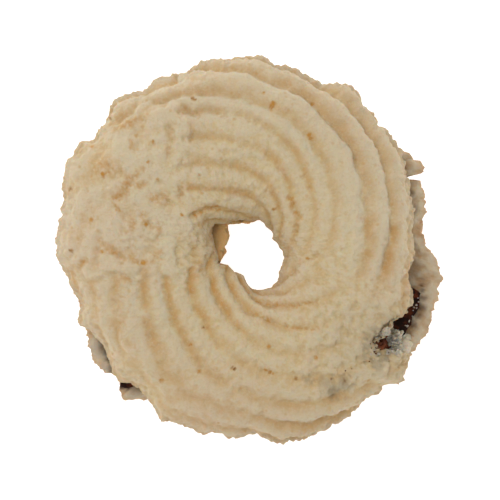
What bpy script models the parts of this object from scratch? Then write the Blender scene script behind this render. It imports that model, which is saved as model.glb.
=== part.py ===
"""A filled butter cookie: two piped rings of baked dough with a dark layer between their flat bases.

Metres, +Z up. The origin is under the middle of the cookie, on the surface that it lies on.
The lower ring lies upside down on its ridges, the filling is on its flat base, and the upper
ring sits on the filling with its ridges up.
"""
import math

import bmesh
import bpy
from mathutils import Vector, noise

# One piped ring, as it lies on its flat base.
RING_OUTER_R = 0.02985
RING_HOLE_R = 0.0050
RING_HEIGHT = 0.0079
SHOULDER = 0.80          # below 1, the section is fuller than half an ellipse

# The swirl: a star nozzle cuts grooves, and the dough turns once as it goes round the ring.
NOZZLE_TEETH = 11
RIDGE_PITCH = 0.00446
RIDGE_DEPTH = 0.00135
GROOVE_SHARPNESS = 0.65  # below 1, crests are broad and grooves are narrow
LINES_PER_RIDGE = 4
SWIRL_START = -3.75      # in ridges, at the +X side
SWIRL_DRIFT_1 = (0.176, -0.090)
SWIRL_DRIFT_2 = (0.338, 0.037)

# The upper ring's outline, as slow waves on a circle: cosine and sine parts.
UPPER_CENTRE = (-0.00045, -0.00035)
UPPER_WAVE_1 = (-0.00104, 0.00088)
UPPER_WAVE_2 = (-0.00120, -0.00068)
# Where its edge bulges (or is pinched, below 0): direction, half of the spread, reach.
UPPER_SPREADS = (
    (math.radians(56), math.radians(9), 0.0021),
    (math.radians(100), math.radians(42), -0.0007),
    (math.radians(116), math.radians(15), -0.0008),
    (math.radians(140), math.radians(9), -0.0009),
    (math.radians(155), math.radians(11), 0.0010),
    (math.radians(179), math.radians(8), 0.0009),
    (math.radians(195), math.radians(8), -0.0013),
    (math.radians(229), math.radians(7), 0.0009),
    (math.radians(237), math.radians(6), -0.0009),
    (math.radians(289), math.radians(23), 0.0015),
)
HOLE_WAVE = 0.00095
HOLE_WAVE_TURN = math.radians(135)
UPPER_STEPS = 96

# Where the ends of the piped rope meet, the ridges are smeared into a lumpy patch.
PATCH_RIGHT = -0.0102
PATCH_BOTTOM = -0.0032
PATCH_TOP = 0.0205       # above the origin, on a line that rises to the right
PATCH_TOP_SLOPE = 0.5
PATCH_EDGE = 0.0012
PATCH_LEVEL = -0.0002    # against the crests around it
PATCH_LUMP = 0.00060
PATCH_LUMP_SIZE = 0.0034

# A break in the upper ring's outer edge, where the filling shows: a straight tear across the
# edge that turns outwards sharply at one end.
BREAK_TURN = math.radians(-37.4)
BREAK_DISTANCE = 0.0252
BREAK_END_TURN = math.radians(-41)
BREAK_END_SPAN = math.radians(4)
BREAK_REACH = math.radians(32)
BREAK_LEAN = 0.20        # how far the torn face leans back, for its height

# The lower ring, upside down and a little off the upper ring's centre.
LOWER_CENTRE = (0.00095, -0.00095)
LOWER_OUTER_R = 0.0293
LOWER_HOLE_R = 0.0046
LOWER_NOTCH_TURN = math.radians(27)
# Where its edge is squashed outwards: direction, half of the spread, reach.
LOWER_SPREADS = (
    (math.radians(-26), math.radians(38), 0.0013),
    (math.radians(-9), math.radians(9), 0.0006),
    (math.radians(-40), math.radians(6), 0.0008),
    (math.radians(4), math.radians(10), -0.0019),
    (math.radians(28), math.radians(8), 0.0008),
    (math.radians(219), math.radians(20), 0.0012),
)
LOWER_STEPS = 60
LOWER_LINES_PER_RIDGE = 3
REST_CUT = 0.00035       # how much of the crests that it lies on is worn flat

# The filling: a layer that stops short of the rings' edges but for two bulges.
FILLING_THICK = 0.0012
FILLING_OUTER_R = 0.0240
FILLING_HOLE_R = 0.0072
FILLING_STEPS = 64
FILLING_SIDES = 12
FILLING_SQUARENESS = 0.35
# Where it is pressed out: direction, half of the spread, reach.
FILLING_SPREADS = (
    (math.radians(-27), math.radians(27), 0.0042),
    (math.radians(221), math.radians(22), 0.0044),
)

# What the pieces share
GAP = 0.0003             # free space between two pieces that touch
BULGE_START = 0.55       # where an edge's bulge begins, from a ring's middle, 0, to its edge, 1
UNEVEN = 0.00022         # how far baking moves the surface in and out
UNEVEN_SIZE = 0.0045
ARC_STEPS = 160          # how finely a section's arched top is measured
BLANK_RADIUS = 2.0       # the plain torus that each piece is shaped from
BLANK_THICKNESS = 1.0
MERGE = 1e-6

# Linear colour and roughness
BAKED_DOUGH = ((0.62, 0.50, 0.32), 0.85)
BROWNER_DOUGH = ((0.50, 0.37, 0.22), 0.85)
DARK_FILLING = ((0.030, 0.010, 0.005), 0.45)

LOWER_BASE_Z = RING_HEIGHT - REST_CUT
FILLING_Z = LOWER_BASE_Z + GAP
UPPER_BASE_Z = FILLING_Z + FILLING_THICK + GAP


def clear_scene():
    """Start from an empty scene."""
    for scene_object in list(bpy.data.objects):
        bpy.data.objects.remove(scene_object, do_unlink=True)


def material(name, colour, roughness):
    """A plain finish for one piece: linear colour, roughness, no metal."""
    finish = bpy.data.materials.new(name)
    finish.use_nodes = True
    shader = finish.node_tree.nodes["Principled BSDF"]
    shader.inputs["Base Color"].default_value = (*colour, 1.0)
    shader.inputs["Roughness"].default_value = roughness
    shader.inputs["Metallic"].default_value = 0.0
    finish.diffuse_color = (*colour, 1.0)
    return finish


def smooth_step(low, high, value):
    """0 below low, 1 above high, and a smooth rise between."""
    t = min(1.0, max(0.0, (value - low) / (high - low)))
    return t * t * (3.0 - 2.0 * t)


def angle_between(turn, other):
    """The angle from other to turn, from -pi to pi."""
    return (turn - other + math.pi) % math.tau - math.pi


def spread(turn, places):
    """How far the places where an edge is pressed out push it at an angle."""
    push = 0.0
    for middle, half_width, reach in places:
        away = abs(angle_between(turn, middle))
        push += reach * (1.0 - smooth_step(0.0, half_width, away))
    return push


def wave(turn, first, second):
    """The once-round and twice-round waves of an outline."""
    return (
        first[0] * math.cos(turn) + first[1] * math.sin(turn)
        + second[0] * math.cos(2.0 * turn) + second[1] * math.sin(2.0 * turn)
    )


def lumps(x, y, z, size):
    """Smooth unevenness between about -1 and 1, with lumps of the given size."""
    return noise.noise(Vector((x, y, z)) / size)


class UpperRing:
    """The ring on top: swirled ridges, a smeared patch at the left, a break at the lower right."""

    steps = UPPER_STEPS
    lines_per_ridge = LINES_PER_RIDGE
    height_cut = math.inf

    def outline(self, turn):
        """The outer and hole radius at an angle, and how far the edge bulges there."""
        outer = RING_OUTER_R + wave(turn, UPPER_WAVE_1, UPPER_WAVE_2)
        hole = RING_HOLE_R + HOLE_WAVE * math.cos(2.0 * (turn - HOLE_WAVE_TURN))
        return outer, hole, spread(turn, UPPER_SPREADS)

    def reach(self, turn, height):
        """How far out the ring reaches at a height, with the break in its edge."""
        away = angle_between(turn, BREAK_TURN)
        if abs(away) > BREAK_REACH:
            return math.inf
        torn = BREAK_DISTANCE / math.cos(away) - BREAK_LEAN * height
        past_end = smooth_step(0.0, BREAK_END_SPAN, angle_between(BREAK_END_TURN, turn))
        return torn + past_end * RING_OUTER_R

    def swirl(self, turn):
        """How many ridges have passed the outer edge between +X and this angle."""
        even = NOZZLE_TEETH * turn / math.tau
        return SWIRL_START + even + wave(turn, SWIRL_DRIFT_1, SWIRL_DRIFT_2)

    def smear(self, x, y):
        """1 on the patch where the rope's ends meet, 0 on clean ridges."""
        from_right = 1.0 - smooth_step(PATCH_RIGHT - PATCH_EDGE, PATCH_RIGHT, x)
        from_below = smooth_step(PATCH_BOTTOM - PATCH_EDGE, PATCH_BOTTOM + PATCH_EDGE, y)
        rise = y - PATCH_TOP_SLOPE * x
        from_above = 1.0 - smooth_step(PATCH_TOP - PATCH_EDGE, PATCH_TOP + PATCH_EDGE, rise)
        return from_right * from_below * from_above


class LowerRing:
    """The ring below. It is upside down, so its angles run backwards seen from above."""

    steps = LOWER_STEPS
    lines_per_ridge = LOWER_LINES_PER_RIDGE
    height_cut = LOWER_BASE_Z

    def outline(self, turn):
        """The outer and hole radius at an angle, and how far the edge bulges there."""
        return LOWER_OUTER_R, LOWER_HOLE_R, spread(-turn, LOWER_SPREADS)

    def reach(self, turn, height):
        """The edge is whole."""
        return math.inf

    def swirl(self, turn):
        """How many ridges have passed the outer edge at this angle, all evenly spaced."""
        return NOZZLE_TEETH * (turn + LOWER_NOTCH_TURN) / math.tau

    def smear(self, x, y):
        """The rope's ends meet out of sight, without a smear."""
        return 0.0


class Section:
    """The ring's cross-section at one angle: an arched top over a flat base."""

    def __init__(self, outer, hole, bulge):
        self.bulge = bulge
        self.middle = 0.5 * (outer + hole)
        self.half = 0.5 * (outer - hole)
        self.angles = [math.pi * step / ARC_STEPS for step in range(ARC_STEPS + 1)]
        self.arcs = [0.0]
        last = self.top(0.0)
        for angle in self.angles[1:]:
            here = self.top(angle)
            self.arcs.append(self.arcs[-1] + math.dist(last, here))
            last = here

    def top(self, angle):
        """Radius and height on the arched top, from the outer edge, 0, to the hole, pi."""
        across = math.cos(angle)
        up = max(0.0, math.sin(angle))
        reach = math.copysign(abs(across) ** SHOULDER, across)
        return self.middle + self.half * reach, RING_HEIGHT * up ** SHOULDER

    def bulged(self, radius):
        """A radius moved by the edge's bulge, which fades out towards the ring's middle."""
        return radius + self.bulge * smooth_step(BULGE_START, 1.0, (radius - self.middle) / self.half)

    def angle_at(self, arc):
        """The angle on the arched top at a distance from the outer edge."""
        for step in range(ARC_STEPS):
            if self.arcs[step + 1] >= arc:
                span = self.arcs[step + 1] - self.arcs[step]
                part = (arc - self.arcs[step]) / span
                return self.angles[step] + part * math.pi / ARC_STEPS
        return math.pi


def ring_point(ring, section, turn, side):
    """Place one grid point of a ring; side runs from 0 to 1 round the section."""
    swirl = ring.swirl(turn)
    half_line = 0.5 / ring.lines_per_ridge
    top_ridges = section.arcs[-1] / RIDGE_PITCH
    ridge = (NOZZLE_TEETH * side - swirl) % NOZZLE_TEETH
    if min(ridge, NOZZLE_TEETH - ridge) < half_line:
        ridge = 0.0
    if abs(ridge - top_ridges) < half_line:
        ridge = top_ridges

    if ridge > top_ridges:
        across = (ridge - top_ridges) / (NOZZLE_TEETH - top_ridges)
        radius = section.middle + section.half * (2.0 * across - 1.0)
        height = 0.0
    else:
        angle = section.angle_at(ridge * RIDGE_PITCH)
        radius, height = section.top(angle)
        x = radius * math.cos(turn)
        y = radius * math.sin(turn)
        smear = ring.smear(x, y)
        groove = 1.0 - abs(math.sin(math.pi * (ridge + swirl))) ** GROOVE_SHARPNESS
        patch = PATCH_LEVEL + PATCH_LUMP * lumps(x, y, height, PATCH_LUMP_SIZE)
        push = smear * patch - (1.0 - smear) * RIDGE_DEPTH * groove
        push += UNEVEN * lumps(x, y, height, UNEVEN_SIZE)
        radius += push * math.cos(angle)
        height += push * math.sin(angle)
        height = min(max(0.0, height), ring.height_cut)

    radius = min(section.bulged(radius), ring.reach(turn, height))
    return radius * math.cos(turn), radius * math.sin(turn), height


def blank(name, steps, sides):
    """A plain torus whose points know their place: the step round it, and the angle round its side."""
    bpy.ops.mesh.primitive_torus_add(
        major_segments=steps, minor_segments=sides,
        major_radius=BLANK_RADIUS, minor_radius=BLANK_THICKNESS
    )
    piece = bpy.context.object
    piece.name = name
    places = []
    for vertex in piece.data.vertices:
        x, y, z = vertex.co
        step = round(math.atan2(y, x) / math.tau * steps) % steps
        places.append((step, math.atan2(z, math.hypot(x, y) - BLANK_RADIUS)))
    return piece, places


def piped_ring(name, ring):
    """A torus whose lines follow the swirl, reshaped to the piped section."""
    piece, places = blank(name, ring.steps, NOZZLE_TEETH * ring.lines_per_ridge)
    turns = [math.tau * step / ring.steps for step in range(ring.steps)]
    sections = [Section(*ring.outline(turn)) for turn in turns]
    for vertex, (step, angle) in zip(piece.data.vertices, places):
        vertex.co = ring_point(ring, sections[step], turns[step], angle / math.tau % 1.0)
    finish_mesh(piece)
    return piece


def square(value):
    """A cosine or sine, pushed towards 1 or -1, which squares a round section."""
    return math.copysign(abs(value) ** FILLING_SQUARENESS, value)


def filling_layer(name):
    """A flat torus with square shoulders, as the rings press it."""
    piece, places = blank(name, FILLING_STEPS, FILLING_SIDES)
    for vertex, (step, angle) in zip(piece.data.vertices, places):
        turn = math.tau * step / FILLING_STEPS
        outer = FILLING_OUTER_R + spread(turn, FILLING_SPREADS)
        middle = 0.5 * (outer + FILLING_HOLE_R)
        radius = middle + (outer - middle) * square(math.cos(angle))
        height = 0.5 * FILLING_THICK * (1.0 + square(math.sin(angle)))
        vertex.co = (radius * math.cos(turn), radius * math.sin(turn), height)
    finish_mesh(piece)
    return piece


def finish_mesh(piece):
    """Merge points that fell together, split faces along short diagonals, shade smooth."""
    mesh = bmesh.new()
    mesh.from_mesh(piece.data)
    bmesh.ops.remove_doubles(mesh, verts=mesh.verts, dist=MERGE)
    bmesh.ops.triangulate(mesh, faces=mesh.faces, quad_method="SHORT_EDGE")
    bmesh.ops.recalc_face_normals(mesh, faces=mesh.faces)
    mesh.to_mesh(piece.data)
    mesh.free()
    piece.data.shade_smooth()


def place(piece, finish, x, y, z, upside_down=False):
    """Give a piece its finish and put it where it lies."""
    piece.data.materials.clear()
    piece.data.materials.append(finish)
    if upside_down:
        piece.rotation_euler = (math.pi, 0.0, 0.0)
    piece.location = (x, y, z)


def build():
    """Make the three pieces."""
    clear_scene()
    upper = piped_ring("upper_ring", UpperRing())
    place(upper, material("baked_dough", *BAKED_DOUGH), *UPPER_CENTRE, UPPER_BASE_Z)

    layer = filling_layer("filling")
    place(layer, material("dark_filling", *DARK_FILLING), *UPPER_CENTRE, FILLING_Z)

    lower = piped_ring("lower_ring", LowerRing())
    browner = material("baked_dough_lower", *BROWNER_DOUGH)
    place(lower, browner, *LOWER_CENTRE, LOWER_BASE_Z, upside_down=True)


build()
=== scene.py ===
"""A filled butter cookie: two piped rings of pale baked dough with a dark layer between them.

Metres, +Z up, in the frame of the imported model: the origin is under the middle of the cookie.
"""

import math
import random

import bpy
import numpy as np
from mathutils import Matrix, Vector, noise


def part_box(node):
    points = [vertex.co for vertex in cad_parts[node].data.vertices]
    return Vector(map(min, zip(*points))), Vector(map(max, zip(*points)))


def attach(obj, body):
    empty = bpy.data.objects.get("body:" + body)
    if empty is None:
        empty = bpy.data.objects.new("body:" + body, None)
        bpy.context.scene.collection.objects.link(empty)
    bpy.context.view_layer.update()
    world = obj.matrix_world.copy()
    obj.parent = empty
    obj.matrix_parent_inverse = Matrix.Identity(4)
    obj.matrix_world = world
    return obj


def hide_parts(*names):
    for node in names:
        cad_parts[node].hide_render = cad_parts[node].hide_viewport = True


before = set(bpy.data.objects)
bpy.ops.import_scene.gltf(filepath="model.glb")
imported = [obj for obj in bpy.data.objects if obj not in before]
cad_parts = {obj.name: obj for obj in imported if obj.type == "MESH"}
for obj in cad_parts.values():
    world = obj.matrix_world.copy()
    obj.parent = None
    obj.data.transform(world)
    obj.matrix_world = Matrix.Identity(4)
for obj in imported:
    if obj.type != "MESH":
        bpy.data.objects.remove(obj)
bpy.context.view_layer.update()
bpy.ops.object.select_all(action="DESELECT")
MM = 0.001


# ---------------------------------------------------------------- The upper ring
# A rope of soft butter dough, piped through a star nozzle into a ring and baked pale. The
# nozzle's grooves swirl outwards, the rope's ends are smeared together at the left, and a
# piece of the edge has broken off at the lower right.

UPPER_STEPS = 600
LINES_PER_RIDGE = 15
NOZZLE_TEETH = 11
RIDGE_PITCH = 4.46 * MM
RING_HEIGHT = 7.9 * MM
RING_OUTER_R = 29.85 * MM
RING_HOLE_R = 5.0 * MM
SHOULDER = 0.80          # below 1, the section is fuller than half an ellipse
# An edge's bulge has a slow part, smoothed over this share of the way round, and a sharp one.
# They begin here, from the ring's middle, 0, to its edge, 1.
SLOW_BULGE_SHARE = 1 / 60
SLOW_BULGE_START = 0.55
SHARP_BULGE_START = 0.85
# The base's rims begin here, from its far side, 0, to its near side, 1, and the arched top's rim
# between these angles from the ring's edge.
BASE_RIM_START = 0.92
TOP_RIM_ANGLES = (0.2, 1.0)
ARC_STEPS = 400          # for measuring round a section

UPPER_CENTRE = (-0.45 * MM, -0.35 * MM)
UPPER_BASE_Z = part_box("upper_ring")[0].z
# The ring's edge without its scallops: a circle with a once-round and a twice-round wave.
UPPER_WAVE_1 = (-1.04 * MM, 0.88 * MM)
UPPER_WAVE_2 = (-1.20 * MM, -0.68 * MM)
# The corners of the scalloped edge, seen from above, from the +X side round to it again, in mm.
UPPER_EDGE = (
    (26.2, 0), (25.7, 3), (26.1, 7), (25.5, 9), (25, 12.5), (24.2, 15.7), (22.9, 17.6),
    (22, 19.4), (20.7, 20), (20.3, 21.2), (19.1, 22.8), (18.3, 23.3), (18, 24.6), (16.9, 25.8),
    (16.3, 26.5), (14, 26.9), (12.1, 26.4), (11.6, 26.4), (9.9, 27.4), (7.5, 28.8), (5.4, 29.8),
    (4.2, 29.7), (2.2, 30.8), (-2.4, 31), (-3, 30.7), (-5.6, 30.8), (-8.2, 29.8), (-9.6, 28.7),
    (-11.1, 28.6), (-13.4, 27.7), (-15.1, 27.3), (-15.7, 26.4), (-17.5, 25.3), (-20, 24.9),
    (-21.4, 24.1), (-22.3, 22.7), (-22.9, 20.9), (-25.1, 17.4), (-26.9, 17.1), (-27.9, 15.2),
    (-29.3, 13.8), (-29.8, 10), (-29.6, 8.3), (-30, 6.4), (-29.7, 5.6), (-30.3, 4.8), (-30.4, 3),
    (-31.1, 1.8), (-30.7, 0.6), (-31, -0.7), (-29.4, -3.8), (-28, -7), (-27.2, -7.5),
    (-26.8, -8.6), (-27.4, -10.6), (-27.3, -12), (-25.6, -12.9), (-23.4, -15.2), (-22.2, -18),
    (-21.9, -19.6), (-20.9, -20.9), (-19.2, -21.1), (-17.2, -22.5), (-15.1, -25.2),
    (-14.3, -27.3), (-12.4, -27.4), (-10.3, -28.1), (-8.5, -28.9), (-7.3, -29.6), (-6, -29.1),
    (-4.9, -29.3), (-3.6, -30.1), (-2, -30.1), (-0.6, -29.5), (1.2, -29.4), (3.1, -30.3),
    (5.5, -31), (6.1, -30.5), (10.4, -29.8), (12.5, -28.4), (15.6, -26.8), (18.5, -23.9),
    (20.2, -23.2), (21.6, -21.4), (23.5, -21.4), (24.3, -21), (24.5, -20.2), (25.2, -18.6),
    (25.4, -17), (26.6, -14), (27, -10), (27, -6),
)
# The corners of its hole.
UPPER_HOLE = (
    (5.4, -1.2), (4.3, 1), (3.5, 1.8), (3.4, 3), (1.2, 4.9), (0, 4.6), (-3.6, 4.2), (-5.6, 4.1),
    (-6.2, 2.2), (-6, 0.8), (-5.2, -1), (-4.7, -2.1), (-3.4, -2.3), (-2.2, -3.3), (-0.9, -4.1),
    (-0.2, -5.3), (0.4, -6.2), (1.8, -6.4), (4.5, -5), (4.5, -3.2),
)

SWIRL_START = -3.75      # in ridges, at the +X side
# How far the swirl runs ahead of an even one: again two waves, in ridges.
SWIRL_DRIFT_1 = (0.176, -0.090)
SWIRL_DRIFT_2 = (0.338, 0.037)
# The grooves (whole numbers, counted inwards) and the crests between them (halves) where the
# nozzle really went, seen from above, in mm. They pull the even swirl into place.
GROOVE_LINES = (
    (-1.5, (14.5, 26.0), (17, 24.3), (19, 21.6), (20.6, 19.2), (22, 17), (23, 15), (23.8, 12.5),
     (24.3, 10), (24.5, 7), (24.5, 4), (24.2, 1)),
    (-1, (11.8, 26.3), (13.5, 25.1), (15, 24.0), (16, 22.9), (17, 21.6), (18, 20.3), (19.3, 18.5),
     (20.4, 16.8), (21.2, 15.2), (21.9, 13.2), (22.3, 11.2), (22.5, 9), (22.6, 7), (22.5, 4),
     (22.2, 1), (21.9, -1.5)),
    (-0.5, (0, 29.9), (4, 28.7), (7, 27.6), (9, 26.6), (11, 25.2), (12.5, 24), (14, 22.9),
     (15.5, 21.7), (17, 20), (18.2, 18), (19.3, 16), (20.2, 13.5), (20.7, 11), (20.9, 8),
     (20.8, 5), (20.6, 2), (20.4, 0)),
    (0, (-9, 29.2), (-7, 29.0), (-4, 28.9), (-1, 28.5), (1, 27.9), (3, 27.1), (5, 26.1),
     (7, 25.2), (9, 24.2), (10.2, 23.1), (11.5, 21.9), (13, 20.4), (14.2, 19.2), (15.3, 17.8),
     (16.3, 16.3), (17, 14.6), (17.4, 12.8), (17.8, 10.5), (18, 8), (18.1, 5), (18.2, 2),
     (18.4, -0.5)),
    (1, (-21, 20.6), (-18.5, 22.2), (-16, 23.3), (-13, 23.9), (-11, 24.5), (-8.5, 24.8),
     (-5.5, 24.8), (-3, 24.5), (-1, 24), (1, 23.3), (3, 22.4), (5, 21.3), (7, 19.8), (8.7, 18.2),
     (10, 16.6), (11, 14.8), (11.8, 12.8), (12.4, 10.8), (12.8, 8.5), (12.9, 6), (12.7, 3.5),
     (12.3, 1.5)),
    (2, (-10.6, 22.2), (-9.3, 21.8), (-7, 21.9), (-5, 21.9), (-3, 21.6), (-1, 21), (1, 20.2),
     (3, 19), (5, 17.3), (6.7, 15.3), (8, 13.2), (9, 11), (9.6, 8.8), (9.9, 6.5), (9.7, 4),
     (9.3, 2)),
    (3, (-9.3, 17.6), (-7, 17.5), (-5, 17.3), (-3, 17), (-1, 16.5), (1, 15.7), (3, 14.5),
     (4.4, 13), (5.3, 11.3), (6, 9.3), (6.5, 7.5), (7.1, 5.6), (7.2, 3.5)),
    (4, (-10, 13.2), (-7, 13.3), (-5, 13), (-3, 12.7), (-1, 12.4), (1, 11.6), (2.5, 10.3),
     (3.5, 8.7), (4.1, 7), (4.6, 5)),
    (5, (-10, 9.3), (-8, 9.3), (-5, 9), (-3, 8.8), (-1, 8.3), (0.5, 7.6), (1.8, 6.6), (2.8, 5.4)),
    (6, (-8.5, 5.9), (-6, 6.3), (-4, 5.9), (-2, 5.6), (-0.5, 5.2), (1, 4.9)),
    (4.5, (-23.6, -6.5), (-23.4, -8), (-23.1, -10), (-23, -12), (-22.6, -14), (-22, -16)),
    (5, (-22.3, -7), (-22.1, -9), (-21.9, -11), (-21.6, -13), (-21.2, -15), (-20.4, -17),
     (-19.4, -19)),
    (5.5, (-19, -7), (-19, -9), (-18.9, -11), (-18.6, -12.7), (-18, -14.3), (-17.4, -16),
     (-16.9, -17.4), (-16.3, -18.9), (-15.5, -20.3), (-14.3, -21.9), (-12.7, -23.3)),
    (6, (-17.6, -7.5), (-17.2, -9), (-16.8, -11), (-16.4, -13), (-15.9, -15), (-15.2, -17),
     (-14.4, -19), (-13.5, -20.5), (-12.3, -21.8), (-10.8, -22.9), (-9, -23.7), (-7, -24.3),
     (-5, -24.8), (-3, -25.2), (-1, -25.6), (1, -26.2), (3, -27.0), (6, -27.3), (9, -27.2),
     (11, -27.1), (14, -26.2), (17, -25)),
    (6.5, (-14.8, -7), (-14.5, -9), (-14, -10.5), (-13.4, -12.3), (-12.7, -14), (-11.9, -15.8),
     (-11, -17.4), (-10, -19), (-8.8, -20.3), (-7.2, -21.6), (-5.5, -22.5), (-3.5, -23.4),
     (-1.5, -24.3), (1, -25.1), (3, -25.8), (6, -26.6), (9, -26.7), (12, -26.3), (15, -25),
     (17.5, -23.7)),
    (7, (-13.4, -6.5), (-13, -8), (-12.6, -9.5), (-12.3, -11), (-11.8, -12.5), (-11.1, -14),
     (-10.3, -15.5), (-9.3, -17), (-8.2, -18.4), (-6.8, -19.8), (-5.2, -21.1), (-3, -22.2),
     (0, -23.0), (3, -23.8), (5, -24.2), (8, -24.5), (10, -24.4), (13, -23.4), (15, -22.3)),
    (7.5, (-11.7, -5.5), (-11.1, -7.5), (-10.4, -9), (-9.6, -10.8), (-8.8, -12.3), (-7.9, -14),
     (-6.9, -15.6), (-5.7, -17), (-4.3, -18.2), (-2.6, -19.2), (0, -20.3), (3, -21.5),
     (7, -22.3), (10, -22.4), (13, -21.7)),
    (8, (-9.8, -5.5), (-9.3, -7.2), (-8.7, -8.9), (-8, -10.6), (-7.2, -12.2), (-6.2, -13.7),
     (-5, -15.2), (-3.5, -16.5), (-1.8, -17.6), (0, -18.6), (3, -19.5), (7, -20.3), (10, -20.3),
     (13, -19.7)),
    (8.5, (-7.6, -5.5), (-7, -7.2), (-6.2, -9), (-5.3, -10.7), (-4.3, -12.2), (-3.2, -13.5),
     (-1.8, -14.9), (0, -16.3), (4, -17.8), (8, -18.2), (12, -17.8)),
    (9, (-6.2, -4.8), (-5.6, -6.3), (-4.9, -7.7), (-4.1, -9.2), (-3.2, -10.6), (-2, -12),
     (-0.7, -13.3), (1, -14.6), (4, -15.8), (7, -16.3), (10, -16), (13, -15)),
    (9.5, (-4.6, -4.5), (-3.9, -6), (-3, -7.6), (-2, -9.2), (-0.8, -10.8), (1, -12.4),
     (4, -13.6), (7, -14), (11, -13.5)),
    (10, (-3.9, -3.3), (-3.3, -4.5), (-2.7, -6), (-1.9, -7.5), (-1, -8.7), (0.2, -9.6),
     (2, -10.4), (4, -11.3), (5.6, -12), (8, -12.3), (11, -11.8)),
    (10.5, (-2.6, -4.2), (-1.6, -6), (-0.4, -7.7), (1, -8.8), (3, -9.6), (6, -10.2),
     (9, -10.2), (12, -9.5)),
    (11, (-1.4, -4.6), (-0.6, -6), (0.5, -7.3), (2, -8.2), (4, -8.8), (7, -8.9), (10, -8.3),
     (12, -7.3)),
)
GROOVE_PULL_REACH = 1.3 * MM
GROOVE_LINE_STEP = 1.0   # in mm
GROOVE_WANDER = 0.10     # in ridges
GROOVE_WANDER_SIZE = 2.4 * MM
# How deep the grooves are: a place from the origin and the depth there, in mm.
GROOVE_DEPTHS = (
    (-5, 28.9, 0.9), (3, 27, 1.0), (8, 24.7, 1.2), (12, 21.5, 1.3), (15, 18, 1.2),
    (17, 14.6, 0.9), (18, 9, 0.6), (18.2, 3, 0.45), (18.4, -1, 0.3), (13.5, 25, 1.2),
    (17, 21.6, 1.5), (20.4, 16.8, 1.4), (22, 12, 1.6), (22.6, 7, 1.6), (22.4, 3, 1.5),
    (22, -1.5, 1.2), (-18, 22.3, 0.7), (-13, 23.9, 0.9), (-8.5, 24.8, 0.9), (-4, 24.7, 0.7),
    (1, 23.3, 0.5), (5, 21.3, 0.5), (9, 18, 0.6), (11, 14.8, 0.6), (12.5, 10, 0.35),
    (12.8, 6, 0.2), (-10.5, 22, 0.7), (-7, 21.9, 0.45), (-3, 21.6, 0.35), (3, 19, 0.3),
    (7, 15, 0.35), (9, 10.5, 0.3), (9.7, 5, 0.15), (-9, 17.6, 0.5), (-5, 17.3, 0.35),
    (0, 16, 0.3), (4.4, 13, 0.35), (6, 9.3, 0.3), (7.1, 5.5, 0.4), (-8, 13.3, 0.35),
    (-3, 12.7, 0.4), (2, 10.8, 0.4), (4, 7, 0.4), (-9.5, 9.3, 0.45), (-5, 9, 0.45),
    (-1, 8.3, 0.35), (2, 6.4, 0.35), (-8.5, 5.9, 0.3), (-5, 6.2, 0.35), (-2, 5.6, 0.3),
    (0.8, 5, 0.2), (-8.2, 3.6, 0.1), (-6, 4.6, 0.15), (13, 0, 0.15), (8, 0, 0.2), (13, -5, 0.1),
    (8, -5, 0.2), (10, -8.3, 0.4), (5, -8.8, 0.5), (8, -12, 0.15), (4, -11.3, 0.4),
    (16, -11, 0.05), (20, -6, 0.1), (7, -16, 0.25), (13, -16, 0.1), (20, -17, 0.05),
    (10, -20.3, 0.2), (3, -19.5, 0.35), (15, -22, 0.3), (10, -24.4, 0.4), (3, -23.8, 0.35),
    (-3, -22.3, 0.35), (3, -27, 0.7), (8, -27.3, 1.0), (14, -26.2, 0.9), (-2, -25.3, 0.4),
    (-9.3, -7, 0.9), (-8, -11, 0.9), (-5, -15, 0.7), (-2, -17.4, 0.6), (-13, -8, 1.0),
    (-12, -12, 0.8), (-10, -16, 0.7), (-7, -19.6, 0.6), (-17, -9, 0.8), (-16, -14, 1.0),
    (-14.6, -18.6, 0.9), (-11, -22.8, 0.5), (-22.2, -9, 0.5), (-21.5, -13.5, 0.6),
    (-20, -18, 0.3), (-18.3, -21.5, 0.0), (-16.2, -24, 0.0), (-13.5, -26.5, 0.1),
    (-5.6, -6.5, 1.0), (-4, -9.3, 0.9), (-2, -12, 0.7), (1, -14.6, 0.4), (25.2, 10.5, 0.0),
    (25.4, 8, 0.0), (25.4, 5.5, 0.0), (25.3, 3, 0.0), (25.2, 0.5, 0.0), (24.9, -2, 0.1),
    (24.8, 12.5, 0.1), (-3, -5, 0.8), (-1.5, -8, 0.8), (-26, -8, 0.4), (-8, -25.5, 0.35),
)
DEPTH_REACH = 2.0 * MM
# What share of that depth is cut: on the mean, how much more on leaning ridges, and how much it
# swings along the groove.
DEPTH_MEAN = 0.9
DEPTH_LEANING = 0.2
DEPTH_SWING = 0.6
DEPTH_SWING_SIZE = 3.2 * MM
# Which way the ridges lean: 1, the flank outside a groove is broad and browned and the one inside
# it steep and pale; -1, the other way round. The browned flank is partly painted shade, the pale
# one partly painted light.
GROOVE_LEANS = (
    (0, 25, 1), (20, 10, 1), (5, 12, 1), (-6, 9, 1), (-12, 24, 1), (10, -26, 1), (3, -9, 0.5),
    (-10, -10, -1), (-18, -12, -1), (-5, -7, -1), (-22, -10, -1), (-8, -18, -0.8),
    (-12, -22, -0.5), (0, -22, 0.2), (-2, -12, -0.5),
)
LEAN_REACH = 3.5 * MM
FLANK_START = 0.1        # in ridges from a groove's middle
STEEP_SHARPNESS = 0.75
BROAD_SHARPNESS = 1.6
GROOVE_ROUND = 0.10      # how rounded the grooves' bottoms are
# Where the flanks are browned and where they are pale, on ridges that lean one way and the other:
# the place where they are so most, and how wide that is beyond and before it, in ridges. Besides
# baked colour, this is painted shade on the browned flank and painted light on the pale one.
BROWNED_SHADED_FLANKS = ((0.07, 0.30, 0.08), (0.07, 0.22, 0.08))
PALE_LIT_FLANKS = ((0.18, 0.18, 0.10), (0.26, 0.20, 0.13))
# Deeper grooves are browner: painted shade in the creases as well as baked colour.
FULLY_BROWNED_SHADED_DEPTH = 0.75   # in mm
SHALLOW_BROWNING_SHADE = 0.8   # below 1, shallower grooves are more than in proportion browned
BLOTCH_SIZE = 2.0 * MM
GRAIN_SIZE = 0.6 * MM

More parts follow.
